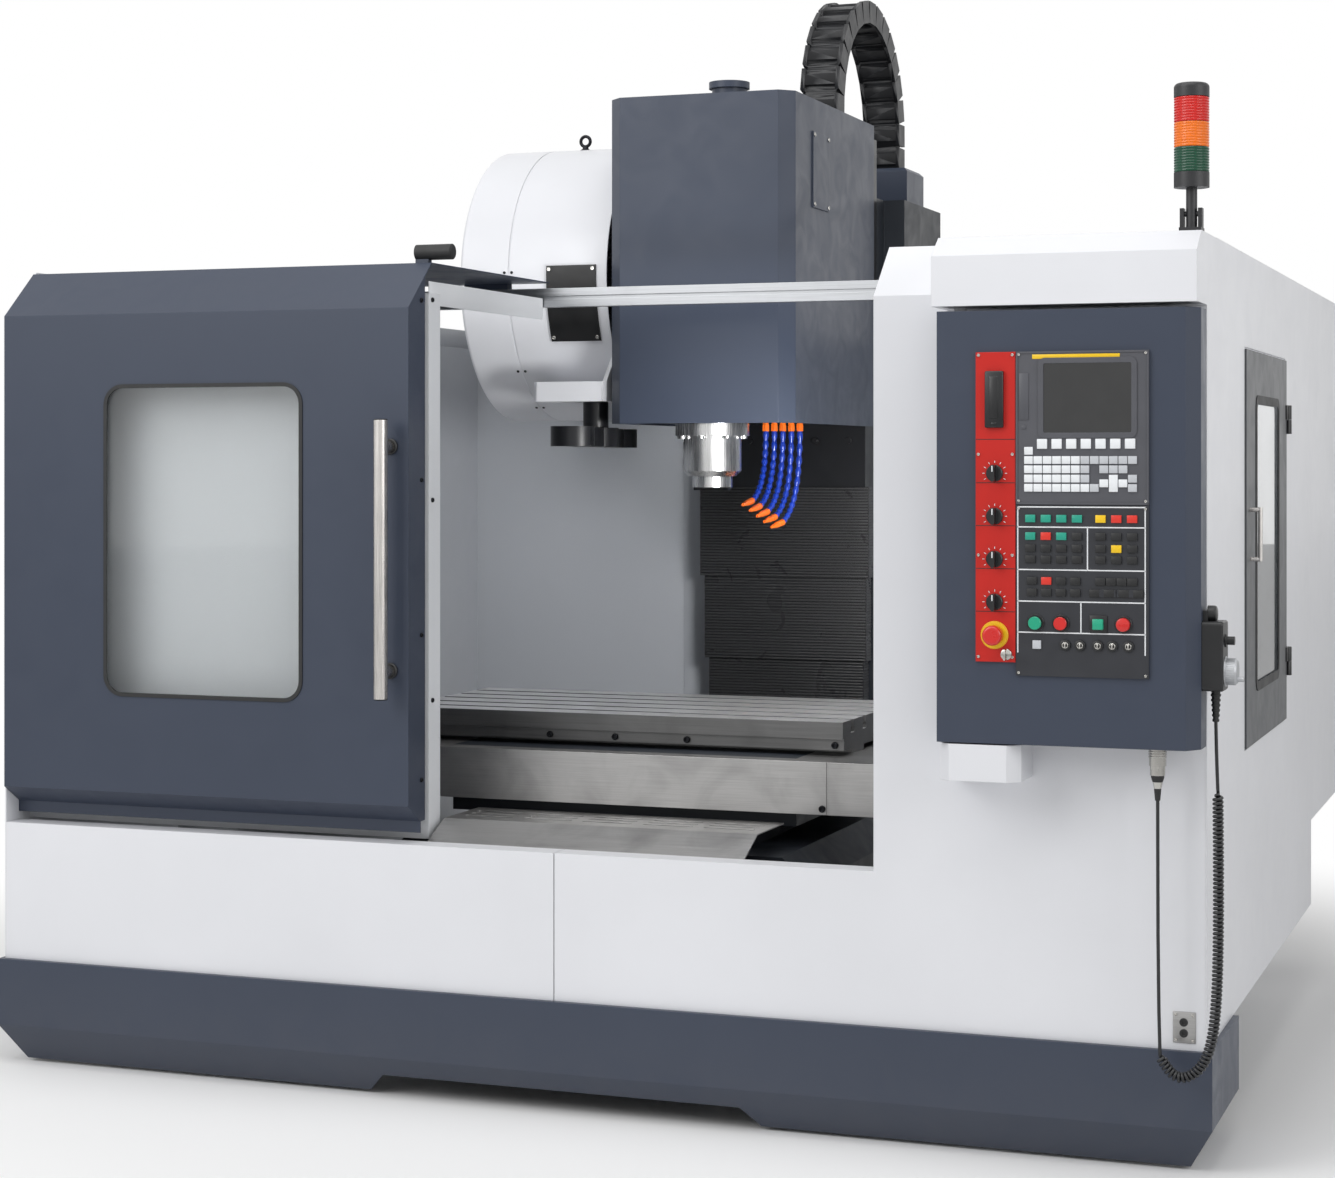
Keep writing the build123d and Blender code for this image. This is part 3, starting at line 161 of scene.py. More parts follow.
class FittingSettings(bpy.types.PropertyGroup):
    """Sizes of the small fittings."""

    screw_head: length_setting("Screw head", "Diameter of a panel screw's head", 11)
    bolt_head: length_setting("Bolt head", "Diameter of a cap screw's head", 16)
    seal_width: length_setting("Seal width", "Width of the rubber round a window", 9)
    key_edge: length_setting("Key edge", "Rounding of a key cap", 0.9)
    rib_pitch: length_setting("Rib pitch", "Distance between two ribs of the way guards", 8.1)
    hose_segments: count_setting("Hose segments", "Parts of one coolant hose", 14, 6, 30)
    lens_ribs: count_setting("Lens ribs", "Rings moulded round each lens", 9, 3, 20)


class CordSettings(bpy.types.PropertyGroup):
    """Sizes of the pendant's curly cord."""

    wire: length_setting("Wire", "Diameter of the cord", 7)
    coil: length_setting("Coil", "Outer diameter of the curls", 23)
    pitch: length_setting("Pitch", "Distance between two curls", 8.2)
    turn_points: count_setting("Points in a turn", "Spline points in one curl", 12, 12, 48)


class StageSettings(bpy.types.PropertyGroup):
    """Floor, light and camera."""

    floor: colour_setting("Floor", "Colour of the floor", "#f4f4f4")
    key_power: power_setting("Key light", "Power of the front light", 150)
    fill_power: power_setting("Fill light", "Power of the side light", 75)
    top_power: power_setting("Top light", "Power of the light above", 105)
    chamber_power: power_setting("Chamber light", "Power of the light inside the work chamber", 8)
    sky: FloatProperty(name="Sky", description="Brightness of the room round the machine", default=0.4, min=0)


def settings():
    """The scene's settings for this machine."""
    return bpy.context.scene.machine_looks


# ---------------------------------------------------------------- materials

made_materials = {}


def add_node(tree, kind, inputs=None, **options):
    """A new node with its options set, and each input set to a value or linked to another node's output."""
    made = tree.nodes.new(kind)
    for name, value in options.items():
        setattr(made, name, value)
    for socket, value in (inputs or {}).items():
        if isinstance(value, bpy.types.NodeSocket):
            tree.links.new(value, made.inputs[socket])
        else:
            made.inputs[socket].default_value = value
    return made


def start_material(name):
    """A new material with an empty tree, and its piece's own coordinates."""
    material = bpy.data.materials.new(name)
    material.use_nodes = True
    tree = material.node_tree
    tree.nodes.clear()
    coordinates = add_node(tree, "ShaderNodeTexCoord")
    made_materials[name] = material
    return tree, coordinates.outputs["Object"]


def finish_material(tree, inputs):
    """The surface shader and the output of a material."""
    surface = add_node(tree, "ShaderNodeBsdfPrincipled", inputs)
    add_node(tree, "ShaderNodeOutputMaterial", {"Surface": surface.outputs["BSDF"]})


def powder_coat(name, colour, roughness, peel=7.0, grime=0.0):
    """Powder-coated sheet steel: an even colour with orange peel, slow drifts of tone and rounded edges.

    The peel is drawn about three times as coarse as it is, so that it shows. Grime gathers near the floor.
    """
    tree, at = start_material(name)
    drift = add_node(tree, "ShaderNodeTexNoise", {"Vector": at, "Scale": 1 / (420 * MM), "Detail": 3.0})
    wipe = add_node(
        tree,
        "ShaderNodeTexNoise",
        {"Vector": at, "Scale": 1 / (95 * MM), "Detail": 5.0, "Distortion": 1.2},
    )
    bead = add_node(tree, "ShaderNodeTexNoise", {"Vector": at, "Scale": 1 / (peel * MM), "Detail": 1.0})
    tone = add_node(
        tree,
        "ShaderNodeMix",
        {0: drift.outputs["Fac"], 6: shade(colour, 0.93), 7: shade(colour, 1.05)},
        data_type="RGBA",
    )
    height = add_node(tree, "ShaderNodeSeparateXYZ", {"Vector": at})
    low = add_node(
        tree,
        "ShaderNodeMapRange",
        {"Value": height.outputs["Z"], "From Min": 0.0, "From Max": 260 * MM, "To Min": grime, "To Max": 0.0},
    )
    patch = add_node(
        tree,
        "ShaderNodeMath",
        {0: low.outputs["Result"], 1: wipe.outputs["Fac"]},
        operation="MULTIPLY",
    )
    dusty = add_node(
        tree,
        "ShaderNodeMix",
        {0: patch.outputs["Value"], 6: tone.outputs[2], 7: linear("#8a8378")},
        data_type="RGBA",
    )
    gloss = add_node(
        tree,
        "ShaderNodeMapRange",
        {
            "Value": wipe.outputs["Fac"],
            "From Min": 0.3,
            "From Max": 0.7,
            "To Min": roughness - 0.05,
            "To Max": roughness + 0.07,
        },
    )
    edge = add_node(tree, "ShaderNodeBevel", {"Radius": 2 * MM}, samples=4)
    bump = add_node(
        tree,
        "ShaderNodeBump",
        {
            "Height": bead.outputs["Fac"],
            "Strength": 0.12,
            "Distance": 0.25 * MM,
            "Normal": edge.outputs["Normal"],
        },
    )
    finish_material(
        tree,
        {
            "Base Color": dusty.outputs[2],
            "Roughness": gloss.outputs["Result"],
            "Normal": bump.outputs["Normal"],
            "IOR": 1.5,
            "Specular IOR Level": 0.35,
        },
    )


def worked_metal(name, colour, roughness, run, line=2.4, stain=0.06, side_shade=1.0):
    """Ground or brushed metal: fine lines along one axis that stretch the highlights, with faint stains.

    The lines are drawn some times as coarse as the grit leaves them, so that they show. Where only the top is
    ground, the milled faces beside it, which don't face up, are darkened to the share side_shade as painted
    shade.
    """
    tree, at = start_material(name)
    stretch = [1 / (line * MM)] * 3
    stretch[run] /= 70
    lined = add_node(tree, "ShaderNodeMapping", {"Vector": at, "Scale": stretch})
    lines = add_node(
        tree,
        "ShaderNodeTexNoise",
        {"Vector": lined.outputs["Vector"], "Scale": 1.0, "Detail": 4.0},
    )
    oil = add_node(
        tree,
        "ShaderNodeTexNoise",
        {"Vector": at, "Scale": 1 / (140 * MM), "Detail": 4.0, "Distortion": 0.8},
    )
    tone = add_node(
        tree,
        "ShaderNodeMix",
        {0: lines.outputs["Fac"], 6: shade(colour, 0.72), 7: shade(colour, 1.18)},
        data_type="RGBA",
    )
    film = add_node(
        tree,
        "ShaderNodeMapRange",
        {"Value": oil.outputs["Fac"], "From Min": 0.45, "From Max": 0.75, "To Min": 0.0, "To Max": stain * 6},
    )
    stained_and_shaded = add_node(
        tree,
        "ShaderNodeMix",
        {0: film.outputs["Result"], 6: tone.outputs[2], 7: shade(colour, 0.42)},
        data_type="RGBA",
    )
    # Painted shade: faces are darkened by which way they face, not at all on top and to side_shade on the
    # sides
    if side_shade < 1:
        facing = add_node(tree, "ShaderNodeNewGeometry")
        upward = add_node(tree, "ShaderNodeSeparateXYZ", {"Vector": facing.outputs["Normal"]})
        # ground holds the painted shade: one for faces that face up, side_shade for the others
        ground = add_node(
            tree,
            "ShaderNodeMapRange",
            {"Value": upward.outputs["Z"], "From Min": 0.5, "From Max": 0.9, "To Min": side_shade, "To Max": 1.0},
        )
        stained_and_shaded = add_node(
            tree,
            "ShaderNodeMix",
            {0: 1.0, 6: stained_and_shaded.outputs[2], 7: ground.outputs["Result"]},
            data_type="RGBA",
            blend_type="MULTIPLY",
        )
    gloss = add_node(
        tree,
        "ShaderNodeMapRange",
        {
            "Value": lines.outputs["Fac"],
            "From Min": 0.3,
            "From Max": 0.7,
            "To Min": roughness - 0.07,
            "To Max": roughness + 0.09,
        },
    )
    edge = add_node(tree, "ShaderNodeBevel", {"Radius": 1.5 * MM}, samples=4)
    bump = add_node(
        tree,
        "ShaderNodeBump",
        {
            "Height": lines.outputs["Fac"],
            "Strength": 0.16,
            "Distance": 0.1 * MM,
            "Normal": edge.outputs["Normal"],
        },
    )
    finish_material(
        tree,
        {
            "Base Color": stained_and_shaded.outputs[2],
            "Metallic": 1.0,
            "Roughness": gloss.outputs["Result"],
            "Normal": bump.outputs["Normal"],
        },
    )


def moulded_plastic(name, colour, roughness, grain=1.6, coat=0.0):
    """Moulded plastic: a fine spark-eroded grain, a little wear in the tone and soft edges.

    The grain is drawn about four times as coarse as it is, so that it shows close up.
    """
    tree, at = start_material(name)
    grit = add_node(tree, "ShaderNodeTexNoise", {"Vector": at, "Scale": 1 / (grain * MM), "Detail": 2.0})
    handled = add_node(tree, "ShaderNodeTexNoise", {"Vector": at, "Scale": 1 / (38 * MM), "Detail": 3.0})
    tone = add_node(
        tree,
        "ShaderNodeMix",
        {0: handled.outputs["Fac"], 6: shade(colour, 0.88), 7: shade(colour, 1.1)},
        data_type="RGBA",
    )
    gloss = add_node(
        tree,
        "ShaderNodeMapRange",
        {
            "Value": handled.outputs["Fac"],
            "From Min": 0.3,
            "From Max": 0.7,
            "To Min": roughness - 0.06,
            "To Max": roughness + 0.06,
        },
    )
    edge = add_node(tree, "ShaderNodeBevel", {"Radius": 0.8 * MM}, samples=4)
    bump = add_node(
        tree,
        "ShaderNodeBump",
        {
            "Height": grit.outputs["Fac"],
            "Strength": 0.15,
            "Distance": 0.08 * MM,
            "Normal": edge.outputs["Normal"],
        },
    )
    finish_material(
        tree,
        {
            "Base Color": tone.outputs[2],
            "Roughness": gloss.outputs["Result"],
            "Normal": bump.outputs["Normal"],
            "IOR": 1.53,
            "Coat Weight": coat,
        },
    )


def clear_sheet(name, tint, roughness, clearness, ior):
    """Clear sheet or lens plastic: light goes through it, and wiping leaves faint smears on it."""
    tree, at = start_material(name)
    smear = add_node(
        tree,
        "ShaderNodeTexNoise",
        {"Vector": at, "Scale": 1 / (120 * MM), "Detail": 4.0, "Distortion": 1.5},
    )
    gloss = add_node(
        tree,
        "ShaderNodeMapRange",
        {
            "Value": smear.outputs["Fac"],
            "From Min": 0.4,
            "From Max": 0.75,
            "To Min": roughness,
            "To Max": roughness + 0.06,
        },
    )
    finish_material(
        tree,
        {
            "Base Color": tint,
            "Roughness": gloss.outputs["Result"],
            "Transmission Weight": clearness,
            "IOR": ior,
        },
    )


def make_materials():
    """Every finish of the machine, each named for what it really is."""
    look = settings().finish
    # Sheet-steel panels: satin white that shows broad soft reflections
    powder_coat("white powder coat", look.white_paint, 0.36)
    # Door, skirt, head and control: the same coat in slate, with dust towards the floor
    powder_coat("slate powder coat", look.slate_paint, 0.38, grime=0.12)
    # Panel behind the front door, and the side door's frame
    powder_coat("pale grey powder coat", look.pocket_paint, 0.4)
    powder_coat("dark grey powder coat", look.side_paint, 0.42)
    # Chamber walls: a tougher, flatter coat
    powder_coat("chamber powder coat", look.lining_paint, 0.45)
    # Castings: brushed-on enamel over fettled iron, so the surface is uneven
    powder_coat("casting enamel", look.casting_enamel, 0.45, peel=24.0, grime=0.4)
    # Head slide, way guards and changer arm: satin black and oily, with the guards' ribs a lighter black as a
    # painted highlight
    powder_coat("oily satin black", look.guard_black, 0.33, peel=9.0)
    powder_coat("guard black with painted highlight", look.rib_highlight_black, 0.3, peel=9.0)
    powder_coat("red panel paint", look.panel_red, 0.4, peel=5.0)
    # Table: iron ground bright along its top, with coolant stains, and painted shade darkening its sides
    worked_metal("ground cast iron", linear("#e0e0e0"), 0.42, 0, line=3.0, stain=0.05, side_shade=0.2)
    # Spindle nose, pots and feet: ground round and oiled
    worked_metal("ground bearing steel", linear("#d8d8d8"), 0.26, 2, line=1.6)
    # Guards and tray: rolled stainless sheet, brushed along the machine
    worked_metal("brushed stainless sheet", linear("#b2b1b0"), 0.36, 0, line=2.2, stain=0.08)
    # Handle tube: stainless polished along its length
    worked_metal("brushed stainless tube", linear("#dcd8d4"), 0.26, 2, line=1.2, stain=0.02)
    worked_metal("anodised aluminium", linear("#b9bbbe"), 0.42, 0, line=1.8, stain=0.02)
    worked_metal("nickel plate", linear("#c6c4bf"), 0.18, 2, line=1.0, stain=0.02)
    worked_metal("blackened steel", linear("#2b2c2f"), 0.42, 2, line=1.0, stain=0.03)
    # Panes: laminated safety glass, very slightly green
    clear_sheet("laminated safety glass", linear("#fafcfc"), 0.0, 1.0, 1.45)
    clear_sheet("red acrylic lens", look.lens_red, 0.1, 0.12, 1.49)
    clear_sheet("amber acrylic lens", look.lens_amber, 0.1, 0.12, 1.49)
    clear_sheet("green acrylic lens", look.lens_green, 0.1, 0.12, 1.49)
    # Display and drum window: dark and glossy
    moulded_plastic("display glass", linear("#0c0d0e"), 0.16, coat=0.6)
    moulded_plastic("smoked polycarbonate", linear("#060607"), 0.5)
    moulded_plastic("black nylon", linear("#1b1c1f"), 0.46)
    moulded_plastic("black ABS", linear("#121315"), 0.36)
    moulded_plastic("black rubber", linear("#141516"), 0.58, grain=2.4)
    moulded_plastic("grey ABS", look.unit_grey, 0.44)
    moulded_plastic("printed polyester film", look.panel_black, 0.4)
    moulded_plastic("white printing ink", linear("#e9ebee"), 0.5)
    moulded_plastic("white key ABS", linear("#eceff2"), 0.42)
    moulded_plastic("grey key ABS", linear("#c3c6cb"), 0.42)
    moulded_plastic("black key silicone", linear("#0e0f11"), 0.5)
    moulded_plastic("green key plastic", linear("#1f9c84"), 0.36)
    moulded_plastic("red key plastic", linear("#dd3325"), 0.34)
    moulded_plastic("yellow plastic", linear("#f3c615"), 0.36)
    moulded_plastic("red button plastic", linear("#d3201b"), 0.3, coat=0.3)
    moulded_plastic("green button plastic", linear("#12a37e"), 0.3, coat=0.3)
    moulded_plastic("blue acetal", look.hose_blue, 0.3)
    moulded_plastic("orange acetal", look.hose_orange, 0.34)
    moulded_plastic("cord polyurethane", linear("#191a1c"), 0.34, grain=3.0)


node_finishes = {
    "white powder coat": (
        "front_panel_left front_panel_right left_side_panel right_side_panel electrical_cabinet "
        "magazine_cover magazine_bracket control_hood control_bracket cabinet_door"
    ),
    "slate powder coat": "skirt door head_cover control_box chain_box",
    "pale grey powder coat": "door_pocket_panel",
    "dark grey powder coat": "side_door",
    "chamber powder coat": "chamber_lining",
    "casting enamel": "bed_casting column saddle",
    "oily satin black": "z_guard_fixed z_guard_upper z_guard_second z_guard_third head_casting tool_arm",
    "red panel paint": "switch_strip",
    "ground cast iron": "table",
    "ground bearing steel": "levelling_feet spindle_cartridge spindle tool_disc",
    "brushed stainless sheet": "sill_tray saddle_guard",
    "brushed stainless tube": "door_handle side_pull",
    "anodised aluminium": "door_rail pendant_wheel",
    "nickel plate": "cord_plug",
    "laminated safety glass": "door_window side_window",
    "display glass": "screen_glass",
    "smoked polycarbonate": "magazine_port",
    "black nylon": "cable_chain tower_mast",
    "black ABS": "mode_knob rapid_knob feed_knob speed_knob pendant",
    "grey ABS": "screen_unit",
    "printed polyester film": "operator_panel",
    "red button plastic": "emergency_stop hold_button",
    "green button plastic": "start_button",
    "blue acetal": "coolant_hoses",
    "red acrylic lens": "tower_lenses",
    "cord polyurethane": "cord_coil cord_leads",
}

# ---------------------------------------------------------------- shapes


def turned(bm, start, axis, profile, segments=32):
    """A turned shape: a profile of radius and height pairs, in millimetres, spun round an axis."""
    axis = Vector(axis).normalized()
    side = axis.orthogonal().normalized()
    rim = [bm.verts.new(start + side * radius * MM + axis * height * MM) for radius, height in profile]
    line = [bm.edges.new(pair) for pair in zip(rim, rim[1:])]
    bmesh.ops.spin(
        bm,
        geom=rim + line,
        cent=start,
        axis=axis,
        dvec=(0, 0, 0),
        angle=2 * math.pi,
        steps=segments,
        use_merge=True,
    )


def round_cap(bm, start, axis, dia, height, edge, segments=32):
    """A turned cap with a rounded rim, closed below."""
    radius = dia / 2
    turned(
        bm,
        start,
        axis,
        [
            (0, height),
            (radius - edge, height),
            (radius - edge * 0.3, height - edge * 0.3),
            (radius, height - edge),
            (radius, 0),
            (0, 0),
        ],
        segments,
    )


def collar(bm, start, axis, inner, outer, height, edge, segments=40):
    """A turned ring with a slanted rim: its bore, its outer diameter and its height."""
    turned(
        bm,
        start,
        axis,
        [
            (inner / 2, 0),
            (inner / 2, height),
            (outer / 2 - edge, height),
            (outer / 2, height - edge),
            (outer / 2, 0),
            (inner / 2, 0),
        ],
        segments,
    )


def rounded_box(bm, low, high, edge, segments=2):
    """A box between two corners, in millimetres, with its edges rounded."""
    low, high = place(*low), place(*high)
    cube = bmesh.ops.create_cube(bm, size=1)["verts"]
    size = Matrix.Diagonal((*(high - low), 1))
    bmesh.ops.transform(bm, matrix=Matrix.Translation((low + high) / 2) @ size, verts=cube)
    edges = list({e for corner in cube for e in corner.link_edges})
    bmesh.ops.bevel(
        bm, geom=edges, offset=edge * MM, segments=segments, profile=0.5, affect="EDGES", material=-1
    )


def on_face(bm, x, z, width, height, proud, edge, segments=2):
    """A rounded block on the control's face, round its middle."""
    rounded_box(
        bm,
        (x - width / 2, control_face - proud, z - height / 2),
        (x + width / 2, control_face, z + height / 2),
        edge,
        segments,
    )


def screw(bm, start, axis, head, height):
    """A screw head with a rounded rim and a sunk socket."""
    turned(
        bm,
        start,
        axis,
        [
            (0, height * 0.35),
            (head * 0.26, height * 0.35),
            (head * 0.29, height),
            (head * 0.42, height),
            (head * 0.5, height * 0.6),
            (head * 0.5, 0),
            (0, 0),
        ],
        segments=14,
    )


def rounded_ring(bm, middle, across, up, size, corner, border, depth):
    """A flat ring with rounded corners: its outer size, its border inwards and its depth to the front."""
    normal = across.cross(up)
    turn = Matrix((across, up, normal)).transposed().to_4x4()
    spread = Matrix.Diagonal((size[0] * MM, size[1] * MM, 1, 1))
    plate = bmesh.ops.create_grid(
        bm, x_segments=1, y_segments=1, size=0.5, matrix=Matrix.Translation(middle) @ turn @ spread
    )["verts"]
    bmesh.ops.bevel(
        bm, geom=plate, offset=corner * MM, segments=8, profile=0.5, affect="VERTICES", material=-1
    )
    opening = max(bm.faces, key=lambda face: face.calc_area())
    bmesh.ops.inset_region(
        bm, faces=[opening], thickness=border * MM, use_boundary=True, use_even_offset=True
    )
    bmesh.ops.delete(bm, geom=[opening], context="FACES")
    raised = bmesh.ops.extrude_face_region(bm, geom=bm.faces[:])["geom"]
    front = [part for part in raised if isinstance(part, bmesh.types.BMVert)]
    bmesh.ops.translate(bm, vec=normal * depth * MM, verts=front)


def add_piece(bm, name, finish, body):
    """A finished bmesh as a piece of the machine: welded, faced outwards, finished and riding on its body."""
    bmesh.ops.remove_doubles(bm, verts=bm.verts, dist=WELD)
    bmesh.ops.recalc_face_normals(bm, faces=bm.faces)
    mesh = bpy.data.meshes.new(name)
    bm.to_mesh(mesh)
    bm.free()
    mesh.materials.append(made_materials[finish])
    mesh.shade_smooth()
    mesh.set_sharp_from_angle(angle=SHARP)
    piece = bpy.data.objects.new(name, mesh)
    bpy.context.scene.collection.objects.link(piece)
    if body:
        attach(piece, body)
    return piece


def screws(name, finish, body, starts, axis, head, height):
    """One piece with all the like screws of a place."""
    bm = bmesh.new()
    for start in starts:
        screw(bm, place(*start), axis, head / MM, height)
    return add_piece(bm, name, finish, body)


def smooth_line(name, points, resolution):
    """A NURBS curve with these points as its control points."""
    curve = bpy.data.curves.new(name, "CURVE")
    curve.dimensions = "3D"
    spline = curve.splines.new("NURBS")
    spline.points.add(len(points) - 1)
    for point, where in zip(spline.points, points):
        point.co = (*where, 1)
    spline.order_u = 3
    spline.use_endpoint_u = True
    curve.resolution_u = resolution
    return curve


def line_points(curve):
    """The points along a curve with no bevel."""
    holder = bpy.data.objects.new("line", curve)
    mesh = bpy.data.meshes.new_from_object(holder)
    points = [vertex.co.copy() for vertex in mesh.vertices]
    bpy.data.objects.remove(holder)
    bpy.data.meshes.remove(mesh)
    return points


# ---------------------------------------------------------------- pieces

# Faces and places that the fittings sit on, in millimetres, as in the part's source
door_front = -10
door_right = -348
handle_x = -392
handle_posts = (963, 1465)
control_face = -136
knob_x = 1015
knob_heights = {"mode_knob": 1408, "rapid_knob": 1322, "feed_knob": 1236, "speed_knob": 1150}
stop_z = 1084
side_face = 1420
panel_side = 1416
hinge_place = (1423.3, 1288)
hinge_lows = (905, 1500)
drum_y = 1390
drum_z = 1917
button_z = 1110
switch_z = 1067
panel_screw_columns = (1064, 1317)
pendant_y = -53
pendant_face = 1460
wheel_z = 1017
plug_place = (1330, -75)
small_head = 6 * MM


class MACHINE_OT_finishes(bpy.types.Operator):
    """Make the finishes and put them on the CAD pieces"""

    bl_idname = "machine.finishes"
    bl_label = "Finishes"

    def execute(self, context):
        make_materials()
        for finish, nodes in node_finishes.items():
            for node in nodes.split():
                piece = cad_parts[node]
                piece.data.materials.clear()
                piece.data.materials.append(made_materials[finish])
        return {"FINISHED"}


class MACHINE_OT_door_fittings(bpy.types.Operator):
    """Make the front door's window seal, screws, buffer sleeve, and the feet and caps of its handle"""

    bl_idname = "machine.door_fittings"
    bl_label = "Front door fittings"

    def execute(self, context):
        sizes = settings().fitting
        border = sizes.seal_width / MM
        bm = bmesh.new()
        rounded_ring(bm, place(-875.5, door_front, 1248), RIGHT, UP, (523, 728), 49, border, 2.5)
        add_piece(bm, "door_window_seal", "black rubber", "door")
        bm = bmesh.new()
        for level in handle_posts:
            collar(bm, place(handle_x, door_front, level), FRONT, 24.4, 36, 7, 2)
        add_piece(bm, "handle_feet", "black ABS", "door")
        bm = bmesh.new()
        for low, up in ((904, -1), (1524, 1)):
            round_cap(bm, place(handle_x, -60, low), UP * up, 30, 2.5, 1.5)
        add_piece(bm, "handle_caps", "blackened steel", "door")
        bm = bmesh.new()
        collar(bm, place(door_right - 44.8, 127, 1910), RIGHT, 33.6, 36, 90, 1, 32)
        round_cap(bm, place(door_right + 44.9, 127, 1910), RIGHT, 33, 1.5, 1, 32)
        add_piece(bm, "buffer_sleeve", "black rubber", "door")
        ends = [(door_right, 55, level) for level in (1796, 1390, 1040, 713)]
        trims = [(door_right, 112, level) for level in (1800, 1344, 888)]
        for name, body, starts in (("door_end_screws", "door", ends), ("pocket_screws", "machine", trims)):
            screws(name, "blackened steel", body, starts, RIGHT, sizes.screw_head, 4)
        return {"FINISHED"}


class MACHINE_OT_chamber_fittings(bpy.types.Operator):
    """Make the bolts of the table and guard, the head's screws and the drive keys of the spindle"""

    bl_idname = "machine.chamber_fittings"
    bl_label = "Chamber and head fittings"

    def execute(self, context):
        sizes = settings().fitting
        bolts = [(x, 474, 780) for x in (-209, -42, 139, 500)]
        screws("table_bolts", "blackened steel", "table", bolts, FRONT, sizes.bolt_head, 7)
        bolts = [(x, 350, 650) for x in (-507, 507)]
        screws("guard_bolts", "blackened steel", "saddle", bolts, FRONT, sizes.bolt_head, 6)
        corners = [(252, y, z) for y in (1124, 1248) for z in (2093, 2271)]
        screws("access_screws", "nickel plate", "head", corners, RIGHT, sizes.screw_head, 3)
        bm = bmesh.new()
        for side in (-1, 1):
            rounded_box(bm, (side * 40 - 9, 1042, 1358), (side * 40 + 9, 1058, 1370), 1.5)
        add_piece(bm, "spindle_drive_keys", "blackened steel", "spindle")
        return {"FINISHED"}


# Sections of the way guard: body, lowest and highest level, half width and front, in millimetres
guard_sections = (
    ("head", 1111, 1362, 246, 1650),
    ("z_guard_second", 879, 1189, 236, 1660),
    ("z_guard_third", 740, 957, 226, 1670),
    ("machine", 560, 820, 216, 1680),
)


class MACHINE_OT_guard_ribs(bpy.types.Operator):
    """Make the fine ribs of the way guards and the folded rims of the chamber's sheets"""

    bl_idname = "machine.guard_ribs"
    bl_label = "Way guard ribs and chamber rims"

    def execute(self, context):
        pitch = settings().fitting.rib_pitch / MM
        foot_share = 0.15
        rib_share = 0.6
        for body, low, high, half, front in guard_sections:
            bm = bmesh.new()
            count = round((high - low) / pitch)
            step = (high - low) / count
            for rib in range(count):
                base = low + step * (rib + foot_share)
                top = base + step * rib_share
                rounded_box(bm, (-half, front - 4.6, base), (half, front - 0.5, top), 1.2, 2)
                for side in (-1, 1):
                    ends = sorted((side * (half - 0.5), side * (half + 1.4)))
                    rounded_box(bm, (ends[0], front + 1, base), (ends[1], front + 49, top), 0.6, 1)
            # The ribs take the lighter black: painted highlight
            add_piece(bm, "guard_ribs_on_" + body, "guard black with painted highlight", body)
        bm = bmesh.new()
        for side in (-1, 1):
            ends = sorted((side * 252, side * 345))
            rounded_box(bm, (ends[0], 1787, 702), (ends[1], 1789.9, 1764), 0.8)
        # Folded rims on the lining: above its left and back walls, and below both side walls
        rounded_box(bm, (-1004, 100, 1765.2), (-1000.2, 1793, 1818), 1)
        rounded_box(bm, (-1004, 1789.5, 1765.2), (-334, 1793, 1818), 1)
        for side in (-1, 1):
            ends = sorted((side * 1000.2, side * 1004))
            rounded_box(bm, (ends[0], 110, 262), (ends[1], 1790, 559.6), 1)
        add_piece(bm, "lining_rims", "chamber powder coat", "machine")
        # Flange under the door's roof, from the pocket panel back to the rail
        bm = bmesh.new()
        rounded_box(bm, (-351, 98.3, 1788), (-348.3, 756, 1842), 1)
        add_piece(bm, "pocket_flange", "pale grey powder coat", "machine")
        return {"FINISHED"}


class MACHINE_OT_coolant_hoses(bpy.types.Operator):
    """Make the five coolant hoses from ball segments, with their fittings and nozzles"""

    bl_idname = "machine.coolant_hoses"
    bl_label = "Coolant hoses"

    def execute(self, context):
        beads = settings().fitting.hose_segments
        blue, orange = bmesh.new(), bmesh.new()
        for index in range(5):
            root = place(72 + 21 * index, 1273 + 8 * index, 1512)
            tip = place(84 + 9 * index, 1046 + 31 * index, 1321 - 15 * index)
            bend = Vector((root.x, root.y, tip.z))
            line = line_points(smooth_line("hose_route", [root, bend, tip], beads * 4))
            marks = [line[round(step * (len(line) - 1) / beads)] for step in range(beads + 1)]
            # Hexagonal fitting under the head
            turned(orange, root, UP, [(0, 0), (9.5, 0), (10, 3), (10, 14), (8, 23), (0, 23)], 6)
            for start, end in zip(marks, marks[1:-3]):
                run = (end - start).length / MM
                ball = [
                    (0, -1),
                    (6, -1),
                    (8, run * 0.22),
                    (8, run * 0.5),
                    (5.6, run * 0.78),
                    (5.6, run + 1),
                    (0, run + 1),
                ]
                turned(blue, start, end - start, ball, 14)
            self.make_nozzle(orange, marks[-4], marks[-1])
        segments = add_piece(blue, "hose_segments", "blue acetal", "head")
        nozzles = add_piece(orange, "hose_nozzles", "orange acetal", "head")
        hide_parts("coolant_hoses")
        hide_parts("coolant_hoses")
        return {"FINISHED"}

    def make_nozzle(self, bm, start, tip):
        """A two-part nozzle: a thick socket and a long cone."""
        length = (tip - start).length / MM
        neck = length * 0.36
        profile = [
            (0, -2),
            (8.6, -2),
            (8.6, neck * 0.55),
            (6.2, neck * 0.85),
            (8.2, neck),
            (8.2, neck + 7),
            (3.6, length),
            (2.2, length),
            (2.2, length - 6),
            (0, length - 6),
        ]
        turned(bm, start, tip - start, profile, 16)


